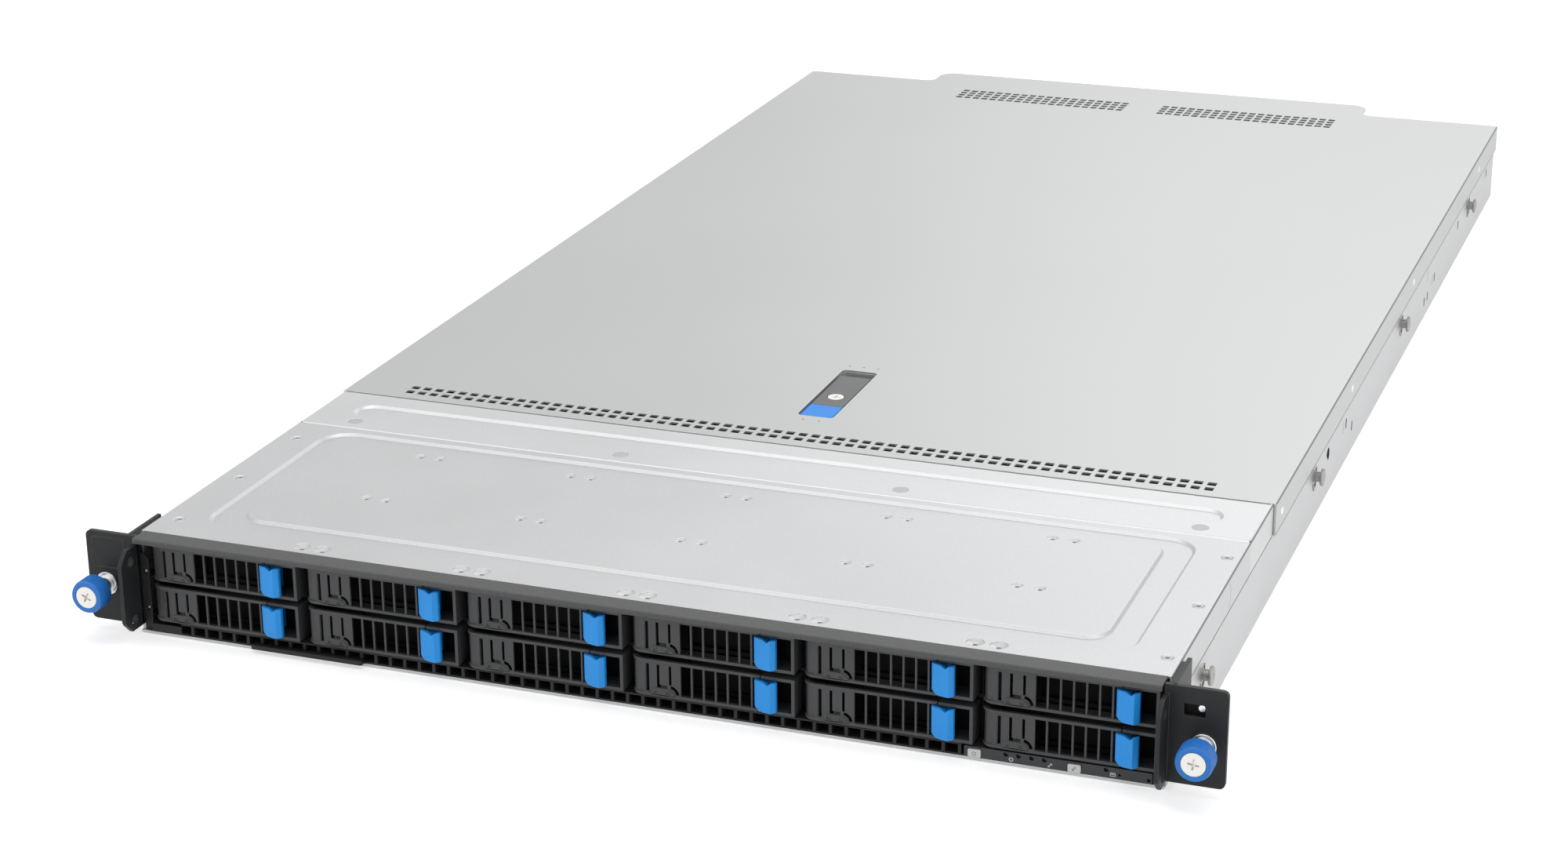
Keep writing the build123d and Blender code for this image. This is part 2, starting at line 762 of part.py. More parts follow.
# Captive screws: knob with the screw's head set in it, relieved shank and thread, turned in one
thumbscrews = {}
for name, side in (("thumbscrew_left", -1), ("thumbscrew_right", 1)):
    knob_back = -knob_reach + knob_length
    thread_front = ear_gauge + thread_start
    thread_back = thread_front + thread_length
    with BuildPart() as thumbscrew:
        with BuildSketch(Plane(origin=(side * screw_x, ear_y, screw_height), x_dir=(1, 0, 0),
                               z_dir=(0, 0, 1))):
            with BuildLine():
                Polyline((0, -knob_reach), (screw_head_radius, -knob_reach),
                         (screw_head_radius, -knob_reach + knob_groove),
                         (screw_head_radius + knob_groove, -knob_reach + knob_groove),
                         (screw_head_radius + knob_groove, -knob_reach),
                         (knob_radius - knob_chamfer, -knob_reach), (knob_radius, -knob_reach + knob_chamfer),
                         (knob_radius, knob_back), (shank_radius, knob_back), (shank_radius, thread_front),
                         (thread_radius, thread_front), (thread_radius, thread_back), (0, thread_back),
                         close=True)
            make_face()
        revolve(axis=Axis((side * screw_x, 0, screw_height), (0, 1, 0)))
    thumbscrews[name] = thumbscrew.part

# Pressed steel: sleeves of the captive screws and the rail studs
with BuildPart() as pressed_studs:
    sleeve_front = knob_reach - knob_length - sleeve_gap
    for side in (-1, 1):
        with BuildSketch(Plane(origin=(side * screw_x, ear_y, screw_height), x_dir=(1, 0, 0),
                               z_dir=(0, 0, 1))):
            bore = shank_radius + pin_gap
            with BuildLine():
                Polyline((bore, -sleeve_front), (sleeve_radius, -sleeve_front),
                         (sleeve_radius, -sleeve_flange_gauge), (sleeve_flange, -sleeve_flange_gauge),
                         (sleeve_flange, 0), (sleeve_radius, 0), (sleeve_radius, ear_gauge),
                         (bore, ear_gauge), close=True)
            make_face()
        revolve(axis=Axis((side * screw_x, 0, screw_height), (0, 1, 0)))
        with BuildSketch(profile(side * wall_half)):
            with Locations(*[(depth, stud_height) for depth in stud_depths]):
                RegularPolygon(stud_neck, stud_sides)
        extrude(amount=side * (stud_neck_length + stud_head_length))
        with BuildSketch(profile(side * (wall_half + stud_neck_length))):
            with Locations(*[(depth, stud_height) for depth in stud_depths]):
                RegularPolygon(stud_head, stud_sides)
        extrude(amount=side * stud_head_length)

# Circuit boards: upright backplane with drive connectors, system board with sockets and memory
with BuildPart() as circuit_boards:
    with BuildSketch(face(backplane_front)):
        span(divider_xs[0], divider_xs[-1], pan_gauge, cage_top)
        for x in bay_centres:
            for row in range(bay_rows):
                low = row_base + row * row_pitch + air_window_lift
                left = x + air_window_left
                span(left, left + air_window_width, low, low + air_window_height, mode=Mode.SUBTRACT)
    extrude(amount=-backplane_gauge)
    connector_front = pocket_depth + plate_gauge + seat_gap + drive_length + plug_gap
    for row in range(bay_rows):
        with BuildSketch(face(connector_front)):
            for x in bay_centres:
                low = row_base + row * row_pitch + plug_lift
                span(x + plug_left, x + plug_right, low, low + plug_height)
        extrude(amount=-(backplane_front - connector_front))
    with BuildSketch(plan(board_base)):
        with BuildLine():
            Polyline((-board_half, board_front), (board_half, board_front), (board_half, board_waist),
                     (board_tail_half, board_waist), (board_tail_half, board_back),
                     (-board_tail_half, board_back), (-board_tail_half, board_waist),
                     (-board_half, board_waist), close=True)
        make_face()
    extrude(amount=board_gauge)
    with BuildSketch(plan(board_top)):
        for x in processor_centres:
            with Locations((x, processor_depth)):
                Rectangle(socket_size, socket_size)
    extrude(amount=socket_height)
    with BuildSketch(plan(board_top)):
        for x in processor_centres:
            for side in (-1, 1):
                bank = x + side * (sink_width / 2 + memory_gap + memory_pitch * (memory_per_bank - 1) / 2)
                with Locations((bank, processor_depth)):
                    with GridLocations(memory_pitch, memory_length, memory_per_bank, 1):
                        Rectangle(memory_gauge, memory_length)
    extrude(amount=memory_height)

# Finned heat sinks on the processors
with BuildPart() as heat_sinks:
    sink_bottom = board_top + socket_height
    for x in processor_centres:
        with BuildSketch(face(processor_depth - sink_length / 2)):
            half = sink_width / 2
            span(x - half, x + half, sink_bottom, sink_bottom + sink_base)
            for index in range(fin_count):
                left = x - half + index * (sink_width - fin_gauge) / (fin_count - 1)
                span(left, left + fin_gauge, sink_bottom, sink_top)
        extrude(amount=-sink_length)

# Fan row: square frames with round bores, and a bladed rotor in each
with BuildPart() as fan_modules:
    fan_xs = [(index - (fan_count - 1) / 2) * fan_pitch for index in range(fan_count)]
    fan_middle = pan_gauge + fan_size / 2
    for x in fan_xs:
        with BuildSketch(face(fan_front)):
            with Locations((x, fan_middle)):
                Rectangle(fan_size, fan_size)
                RegularPolygon(fan_bore, fan_bore_sides, mode=Mode.SUBTRACT)
        extrude(amount=-fan_length)
        with BuildSketch(face(fan_front + fan_length - fan_strut_depth)):
            with Locations((x, fan_middle)):
                Rectangle(2 * (fan_bore + fan_overlap), fan_strut)
                Rectangle(fan_strut, 2 * (fan_bore + fan_overlap))
        extrude(amount=-fan_strut_depth)
        with BuildSketch(face(fan_front + fan_rotor_front + fan_rotor_length + seat_gap)):
            with Locations((x, fan_middle)):
                RegularPolygon(fan_hub, fan_hub_sides)
        extrude(amount=fan_rotor_front + fan_rotor_length + seat_gap - fan_length)
        with BuildSketch(face(fan_front + fan_rotor_front)):
            with Locations((x, fan_middle)):
                RegularPolygon(fan_hub, fan_hub_sides)
                with PolarLocations(fan_hub + fan_blade_length / 2 - fan_overlap, fan_blades):
                    Rectangle(fan_blade_length, fan_blade)
        extrude(amount=-fan_rotor_length)

# Rear sockets, their shells and the slot covers
with BuildPart() as rear_ports:
    port_back = body_depth + port_proud
    with BuildSketch(face(port_back - jack_length)):
        for x in jack_centres:
            span(x - jack_width / 2, x + jack_width / 2, board_top, board_top + jack_height)
        for x in usb_centres:
            span(x - usb_width / 2, x + usb_width / 2, board_top, board_top + usb_height)
        span(video_centre - video_width / 2, video_centre + video_width / 2, board_top,
             board_top + video_height)
    extrude(amount=-jack_length)
    with BuildSketch(face(port_back)):
        for x in jack_centres:
            low = board_top + (jack_height - jack_mouth_height) / 2
            span(x - jack_mouth_width / 2, x + jack_mouth_width / 2, low, low + jack_mouth_height)
    extrude(amount=jack_mouth_depth, mode=Mode.SUBTRACT)
    with BuildSketch(face(port_back)):
        for x in usb_centres:
            for low in (board_top + usb_slot_lift, board_top + usb_slot_lift + usb_slot_step):
                span(x - usb_slot_width / 2, x + usb_slot_width / 2, low, low + usb_slot_height)
                tongue_low = low + usb_tongue_lift
                span(x - usb_slot_width / 2, x + usb_slot_width / 2, tongue_low, tongue_low + usb_tongue,
                     mode=Mode.SUBTRACT)
    extrude(amount=usb_slot_depth, mode=Mode.SUBTRACT)
    cover_back = rear_wall_front - slide_gap
    with BuildSketch(face(cover_back - cover_gauge)):
        for centre in slot_cover_centres:
            half = slot_cover_width / 2 + slot_cover_lap
            span(centre - half, centre + half, slot_cover_base - slot_cover_lap,
                 slot_cover_base + slot_cover_height + slot_cover_lap)
            step = slot_cover_width / slot_count
            for index in range(slot_count):
                left = centre - slot_cover_width / 2 + (index + 0.5) * step - slot_width / 2
                span(left, left + slot_width, slot_cover_base + slot_margin,
                     slot_cover_base + slot_cover_height - slot_margin, mode=Mode.SUBTRACT)
        half = module_cover_width / 2 + slot_cover_lap
        span(module_cover_centre - half, module_cover_centre + half, module_cover_base,
             module_cover_base + module_cover_height + slot_cover_lap)
    extrude(amount=-cover_gauge)

# Power supplies: case with mains inlet, fan grille and pull handle on the rear face
supplies = {}
for name, side in (("power_supply_1", -1), ("power_supply_2", 1)):
    x = side * psu_x
    with BuildPart() as power_supply:
        half = psu_width / 2
        with BuildSketch(face(psu_back - psu_length)):
            span(x - half, x + half, psu_base, psu_base + psu_height)
        extrude(amount=-psu_length)
        chamfer(power_supply.edges().filter_by(Axis.Y), length=psu_chamfer)
        middle = psu_base + psu_height / 2
        inlet_x = x + inlet_offset
        with BuildSketch(face(psu_back)):
            with Locations((inlet_x, middle)):
                Rectangle(inlet_width, inlet_height)
        extrude(amount=inlet_depth, mode=Mode.SUBTRACT)
        with BuildSketch(face(psu_back - inlet_depth + inlet_pin_length)):
            with Locations((inlet_x, middle + inlet_pin_rise),
                           (inlet_x - inlet_pin_spread, middle - inlet_pin_rise),
                           (inlet_x + inlet_pin_spread, middle - inlet_pin_rise)):
                Rectangle(inlet_pin, inlet_pin * 2)
        extrude(amount=inlet_pin_length)
        grip_x = x + handle_offset
        with BuildSketch(face(psu_back)):
            with Locations((grip_x, middle)):
                Circle(grille_radius)
        extrude(amount=grille_depth, mode=Mode.SUBTRACT)
        with BuildSketch(face(psu_back)):
            with Locations((grip_x, middle)):
                Circle(grille_hub)
                Rectangle(2 * grille_radius, grille_bar)
                Rectangle(grille_bar, 2 * grille_radius)
        extrude(amount=grille_depth)
        with BuildSketch(plan(middle - handle_height / 2)):
            outer = handle_width / 2
            inner = outer - handle_bar
            span(grip_x - outer, grip_x + outer, psu_back - handle_root, psu_back + handle_reach)
            span(grip_x - inner, grip_x + inner, psu_back - handle_root, psu_back + handle_reach - handle_bar,
                 mode=Mode.SUBTRACT)
        extrude(amount=handle_height)
    supplies[name] = power_supply.part

# Drive tray: carrier with bezel frame, pivot ears, cross plate and rails, and the drive in it
with BuildPart() as drive_tray:
    with BuildSketch(face(0)):
        span(frame_left, bezel_right, 0, bezel_height)
        span(frame_left, bezel_right - frame_wall, border, bezel_height - border, mode=Mode.SUBTRACT)
    extrude(amount=-pocket_depth)
    with BuildSketch(face(plate_front)):
        span(-carrier_half, carrier_half, seat_gap, bezel_height - seat_gap)
        span(bezel_left + grille_left, frame_left - air_hole_right, air_hole_margin,
             bezel_height - air_hole_margin, mode=Mode.SUBTRACT)
    extrude(amount=-plate_gauge)
    for low in (seat_gap, bezel_height - seat_gap - hinge_ear):
        with BuildSketch(plan(low)):
            span(hinge_x - knuckle_radius, hinge_x + knuckle_radius, hinge_y, plate_front + plate_gauge / 2)
            with Locations((hinge_x, hinge_y)):
                RegularPolygon(knuckle_radius, knuckle_sides)
        extrude(amount=hinge_ear)
    with BuildSketch(plan(seat_gap)):
        with Locations((hinge_x, hinge_y)):
            Circle(hinge_pin_radius)
    extrude(amount=bezel_height - 2 * seat_gap)
    for side in (-1, 1):
        outer = side * carrier_half
        across = sorted((outer, outer - side * rail_wall))
        with BuildSketch(plan(slide_gap)):
            span(across[0], across[1], plate_front, carrier_length)
        extrude(amount=rail_height)
    drive_front = plate_front + plate_gauge + seat_gap
    drive_base = (bezel_height - drive_height) / 2
    with BuildSketch(plan(drive_base)):
        span(-drive_width / 2, drive_width / 2, drive_front, drive_front + drive_length)
    extrude(amount=drive_height)


# Lever's outline seen from above, between a front and a back depth, curled round the hinge pin
def lever_outline(front, back):
    turn = math.radians(270 - lever_curl)
    outer = hinge_y - front
    inner = hinge_y - back
    outer_end = (hinge_x + outer * math.cos(turn), hinge_y + outer * math.sin(turn))
    inner_end = (hinge_x + inner * math.cos(turn), hinge_y + inner * math.sin(turn))
    with BuildLine() as outline:
        Line((lever_tip, front), (hinge_x, front))
        RadiusArc((hinge_x, front), outer_end, outer)
        Line(outer_end, inner_end)
        RadiusArc(inner_end, (hinge_x, back), -inner)
        Line((hinge_x, back), (lever_tip, back))
        Line((lever_tip, back), (lever_tip, front))
    make_face(outline.edges())


# Tray lever: grip plate, grille and borders in one, swinging out on the pin at its left end
with BuildPart() as tray_lever:
    with BuildSketch(plan(border)):
        lever_outline(lever_sheet_front, lever_sheet_back)
    extrude(amount=bezel_height - 2 * border)
    for low in (0, bezel_height - border):
        with BuildSketch(plan(low)):
            lever_outline(0, lever_sheet_back)
        extrude(amount=border)
    with BuildSketch(face(-cut_length / 2)):
        left = bezel_left + grille_left
        for index in range(grille_windows):
            start = left + index * rib_pitch
            span(start, start + rib_pitch - rib_width, border, bezel_height - border)
        span(left + grille_windows * rib_pitch, frame_left, border, bezel_height - border)
        for start, width, foot in zip(groove_lefts, groove_widths, groove_feet):
            span(bezel_left + start, bezel_left + start + width, foot, bezel_height - groove_top)
    extrude(amount=-cut_length, mode=Mode.SUBTRACT)
    with BuildSketch(face(0)):
        with BuildLine():
            boss_left = bezel_left + lamp_boss_left
            boss_right = boss_left + lamp_boss_width
            Polyline((boss_left, border / 2), (boss_left + lamp_boss_slope, lamp_boss_height),
                     (boss_right - lamp_boss_slope, lamp_boss_height), (boss_right, border / 2), close=True)
        make_face()
    extrude(amount=-lever_sheet_back)
    knuckle_base = seat_gap + hinge_ear + latch_gap
    with BuildSketch(plan(knuckle_base)):
        neck = knuckle_radius * knuckle_neck
        span(hinge_x - neck, hinge_x + neck, lever_sheet_front, hinge_y)
        with Locations((hinge_x, hinge_y)):
            RegularPolygon(knuckle_radius, knuckle_sides)
    extrude(amount=bezel_height - 2 * knuckle_base)
    with BuildSketch(plan(0)):
        with Locations((hinge_x, hinge_y)):
            Circle(hinge_pin_radius + pin_gap)
    extrude(amount=bezel_height, mode=Mode.SUBTRACT)

# Tray latch: creased thumb face on a block that slides right in the pocket
with BuildPart() as tray_latch:
    low = border + latch_gap
    high = bezel_height - border - latch_gap
    left = bezel_right - latch_left
    right = bezel_right - latch_right
    crease = bezel_right - latch_crease
    with BuildSketch(plan(low)):
        with BuildLine():
            Polyline((left, pocket_depth - latch_gap * 2), (left, -latch_side_reach), (crease, -latch_reach),
                     (right, -latch_side_reach), (right, pocket_depth - latch_gap * 2), close=True)
        make_face()
    extrude(amount=high - low)
    with BuildSketch(face(-2 * latch_reach)):
        with BuildLine():
            Polyline((left, low + latch_foot_height), (left + latch_foot_width, low),
                     (right - latch_foot_right, low), (right, low + latch_foot_height),
                     (right, high - latch_shoulder), (right - latch_shoulder, high), (crease, high),
                     (crease - latch_notch_right, high - latch_notch_depth),
                     (crease - latch_notch_left, high), (left, high), close=True)
        make_face()
    extrude(amount=-(pocket_depth + 2 * latch_reach), mode=Mode.INTERSECT)

# Single pieces
chassis_pan.part.label = "chassis_pan"
export_step(chassis_pan.part, "parts/chassis_pan.step")
drive_cage.part.label = "drive_cage"
export_step(drive_cage.part, "parts/drive_cage.step")
front_bezel.part.label = "front_bezel"
export_step(front_bezel.part, "parts/front_bezel.step")
pull_tag.part.label = "pull_tag"
export_step(pull_tag.part, "parts/pull_tag.step")
control_panel.part.label = "control_panel"
export_step(control_panel.part, "parts/control_panel.step")
drive_bay_cover.part.label = "drive_bay_cover"
export_step(drive_bay_cover.part, "parts/drive_bay_cover.step")
bridge_cover.part.label = "bridge_cover"
export_step(bridge_cover.part, "parts/bridge_cover.step")
top_lid.part.label = "top_lid"
export_step(top_lid.part, "parts/top_lid.step")
lid_latch_pan.part.label = "lid_latch_pan"
export_step(lid_latch_pan.part, "parts/lid_latch_pan.step")
lid_latch_lever.part.label = "lid_latch_lever"
export_step(lid_latch_lever.part, "parts/lid_latch_lever.step")
lid_lock_screw.part.label = "lid_lock_screw"
export_step(lid_lock_screw.part, "parts/lid_lock_screw.step")
pressed_studs.part.label = "pressed_studs"
export_step(pressed_studs.part, "parts/pressed_studs.step")
circuit_boards.part.label = "circuit_boards"
export_step(circuit_boards.part, "parts/circuit_boards.step")
heat_sinks.part.label = "heat_sinks"
export_step(heat_sinks.part, "parts/heat_sinks.step")
fan_modules.part.label = "fan_modules"
export_step(fan_modules.part, "parts/fan_modules.step")
rear_ports.part.label = "rear_ports"
export_step(rear_ports.part, "parts/rear_ports.step")

# Left and right pieces
for name, piece in (buttons | ears | thumbscrews | supplies).items():
    piece.label = name
    export_step(piece, f"parts/{name}.step")

# Twelve trays, numbered from the lower left, each with its lever and latch
tray_number = 0
for row in range(bay_rows):
    for x in bay_centres:
        tray_number += 1
        place = Location((x, 0, row_base + row * row_pitch))
        pieces = (("drive_tray", drive_tray), ("tray_lever", tray_lever), ("tray_latch", tray_latch))
        for kind, piece in pieces:
            placed = piece.part.moved(place)
            placed.label = f"{kind}_{tray_number:02d}"
            export_step(placed, f"parts/{placed.label}.step")
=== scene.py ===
import json
import math
import bpy
import bmesh
from mathutils import Matrix, Vector
from mathutils.geometry import delaunay_2d_cdt


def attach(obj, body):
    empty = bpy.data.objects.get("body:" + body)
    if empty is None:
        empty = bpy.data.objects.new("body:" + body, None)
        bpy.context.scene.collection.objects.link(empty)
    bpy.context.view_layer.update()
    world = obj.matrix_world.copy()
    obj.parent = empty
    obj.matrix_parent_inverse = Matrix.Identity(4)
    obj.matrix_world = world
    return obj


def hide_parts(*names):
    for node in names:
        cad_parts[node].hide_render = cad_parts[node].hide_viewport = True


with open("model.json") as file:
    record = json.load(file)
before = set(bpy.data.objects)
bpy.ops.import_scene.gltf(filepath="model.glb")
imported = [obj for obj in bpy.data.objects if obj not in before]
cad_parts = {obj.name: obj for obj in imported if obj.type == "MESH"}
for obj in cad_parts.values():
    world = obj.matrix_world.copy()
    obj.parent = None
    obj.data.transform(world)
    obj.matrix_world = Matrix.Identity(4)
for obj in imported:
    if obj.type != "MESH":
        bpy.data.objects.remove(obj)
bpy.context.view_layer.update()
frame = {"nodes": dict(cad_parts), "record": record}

scene = bpy.context.scene
nodes = frame["nodes"]
mm = 0.001
earLine = -0.4231                 # depth of the ears' faces in metres

# driving sizes in mm: across from the middle, depth behind the ears, height above the underside
unitTop = 44.0
wallHalf = 218.6
lidHalf = 219.75
skirtLow = 29.5                   # lower edge of the covers' skirts
coversFront = 6.0
bridgeBack = 188.0
lidBack = 840.2
bayPitch = 71.8
firstBay = -177.75                # middle of the left column of trays


# camera and light
cameraView = {
    "place": (0.44724, -1.44999, 0.53166),
    "azimuth": 20.2436,           # degrees
    "elevation": 20.4328,
    "roll": -0.42597,
    "lens": 71.63,                # on a 36 mm sensor
}


def setCamera(view):
    a, e, r = (math.radians(view[k]) for k in ("azimuth", "elevation", "roll"))
    back = Vector((math.sin(a) * math.cos(e), -math.cos(a) * math.cos(e), math.sin(e)))
    level = Vector((math.cos(a), math.sin(a), 0))
    lift = back.cross(level)
    right = math.cos(r) * level + math.sin(r) * lift
    up = back.cross(right)
    camera = bpy.data.objects.new("camera", bpy.data.cameras.new("camera"))
    camera.data.sensor_width = 36
    camera.data.sensor_fit = "HORIZONTAL"
    camera.data.lens = view["lens"]
    camera.data.clip_start = 0.05
    camera.data.clip_end = 60
    turn = Matrix((right, up, back)).transposed().to_4x4()
    camera.matrix_world = Matrix.Translation(view["place"]) @ turn
    scene.collection.objects.link(camera)
    scene.camera = camera


setCamera(cameraView)
scene.view_settings.view_transform = "Standard"

lamps = {
    "overhead": {"place": (0.0, -0.35, 1.7), "aim": (0, 0.0, 0), "size": (2.4, 1.0), "watts": 15},
    "backSoft": {"place": (0.3, 4.0, 2.4), "aim": (0.1, -0.35, 0), "size": (3.2, 1.4), "watts": 26},
    "frontFill": {"place": (-0.9, -2.1, 0.9), "aim": (0, -0.4, 0), "size": (2.4, 1.6), "watts": 9},
    "rightFill": {"place": (2.0, -0.7, 0.9), "aim": (0.1, 0, 0), "size": (1.6, 1.4), "watts": 7.5},
}
for name, lamp in lamps.items():
    light = bpy.data.lights.new(name, "AREA")
    light.shape = "RECTANGLE"
    light.size, light.size_y = lamp["size"]
    light.energy = lamp["watts"]
    holder = bpy.data.objects.new(name, light)
    holder.location = lamp["place"]
    toAim = Vector(lamp["aim"]) - Vector(lamp["place"])
    holder.rotation_euler = toAim.to_track_quat("-Z", "Y").to_euler()
    scene.collection.objects.link(holder)


# adds a node, its inputs set by name, or by number as _0 and _1
def put(tree, kind, props=None, **values):
    made = tree.nodes.new(kind if "Node" in kind else "ShaderNode" + kind)
    for key, value in (props or {}).items():
        setattr(made, key, value)
    for key, value in values.items():
        socket = made.inputs[int(key[1:])] if key[0] == "_" else made.inputs[key.replace("_", " ")]
        if isinstance(value, bpy.types.NodeSocket):
            tree.links.new(value, socket)
        else:
            socket.default_value = value
    return made.outputs


def maths(tree, operation, *values, clamp=False):
    numbered = {f"_{i}": value for i, value in enumerate(values)}
    return put(tree, "Math", {"operation": operation, "use_clamp": clamp}, **numbered)[0]


# 1 for the rays that see the studio itself, from the camera, in gloss or through glass
def seeingRays(tree):
    path = put(tree, "LightPath")
    indirect = maths(tree, "MAXIMUM", path["Is Glossy Ray"], path["Is Transmission Ray"])
    return maths(tree, "MAXIMUM", path["Is Camera Ray"], indirect)


# what those rays see is white, what lights the object is dimmer
def setWorld(seen, lit):
    world = bpy.data.worlds.new("studio")
    scene.world = world
    world.use_nodes = True
    tree = world.node_tree
    background = tree.nodes["Background"].inputs
    background["Color"].default_value = (1, 1, 1, 1)
    strength = put(tree, "MapRange", Value=seeingRays(tree), To_Min=lit, To_Max=seen)["Result"]
    tree.links.new(strength, background["Strength"])


setWorld(seen=1.0, lit=0.45)
print("camera and light are set")


# node groups, for shaders and for geometry
def newGroup(name, kind, inputs, outputs):
    group = bpy.data.node_groups.new(name, kind)
    for title, socket, value in inputs:
        made = group.interface.new_socket(title, in_out="INPUT", socket_type="NodeSocket" + socket)
        if value is not None:
            made.default_value = value
    for title, socket in outputs:
        group.interface.new_socket(title, in_out="OUTPUT", socket_type="NodeSocket" + socket)
    return group, group.nodes.new("NodeGroupInput").outputs, group.nodes.new("NodeGroupOutput").inputs


# fine speckle and slow patches over a colour, with the roughness and height that go with them
def makeGrain():
    group, start, end = newGroup("surfaceGrain", "ShaderNodeTree", [
        ("Color", "Color", (0.5, 0.5, 0.5, 1)), ("Grain per metre", "Float", 1500),
        ("Grain", "Float", 0.05), ("Patches per metre", "Float", 12), ("Patches", "Float", 0.03),
        ("Roughness", "Float", 0.4), ("Roughness spread", "Float", 0.1)
    ], [("Color", "Color"), ("Roughness", "Float"), ("Height", "Float")])
    place = put(group, "TexCoord")["Object"]
    fine = put(group, "TexNoise", Vector=place, Scale=start["Grain per metre"], Detail=3.0, Roughness=0.6)
    slow = put(group, "TexNoise", Vector=place, Scale=start["Patches per metre"], Detail=5.0, Roughness=0.55)
    tones = [maths(group, "MULTIPLY", maths(group, "MULTIPLY_ADD", noise["Fac"], 2.0, -1.0), start[share])
             for noise, share in ((fine, "Grain"), (slow, "Patches"))]
    gain = maths(group, "ADD", maths(group, "ADD", *tones), 1.0)
    scaled = put(group, "VectorMath", {"operation": "SCALE"}, _0=start["Color"], Scale=gain)[0]
    spread = maths(group, "MULTIPLY_ADD", slow["Fac"], start["Roughness spread"], start["Roughness"])
    group.links.new(scaled, end["Color"])
    group.links.new(spread, end["Roughness"])
    group.links.new(fine["Fac"], end["Height"])
    return group


# rounds sharp edges in the light, and paints them a brighter edge colour: partly rubbed wear, partly painted
# highlight along the edges
def makeEdge():
    group, start, end = newGroup("wornAndHighlitEdge", "ShaderNodeTree", [
        ("Color", "Color", (0.5, 0.5, 0.5, 1)), ("Edge color", "Color", (0.7, 0.7, 0.7, 1)),
        ("Radius", "Float", 0.0003), ("WearAndHighlight", "Float", 0.3)], [("Color", "Color"), ("Normal", "Vector")])
    soft = put(group, "Bevel", {"samples": 4}, Radius=start["Radius"])["Normal"]
    flat = put(group, "NewGeometry")["Normal"]
    along = put(group, "VectorMath", {"operation": "DOT_PRODUCT"}, _0=soft, _1=flat)["Value"]
    edge = put(group, "MapRange", Value=along, From_Min=0.985, From_Max=0.8, To_Min=0.0, To_Max=1.0)[0]
    place = put(group, "TexCoord")["Object"]
    broken = put(group, "TexNoise", Vector=place, Scale=260.0, Detail=3.0)["Fac"]
    broken = put(group, "MapRange", Value=broken, From_Min=0.35, From_Max=0.65, To_Min=0.25, To_Max=1.0)[0]
    mask = maths(group, "MULTIPLY", maths(group, "MULTIPLY", edge, broken), start["WearAndHighlight"], clamp=True)
    mixed = put(group, "Mix", {"data_type": "RGBA"}, Factor=mask, _6=start["Color"], _7=start["Edge color"])
    group.links.new(mixed[2], end["Color"])
    group.links.new(soft, end["Normal"])
    return group


grainGroup = makeGrain()
edgeGroup = makeEdge()
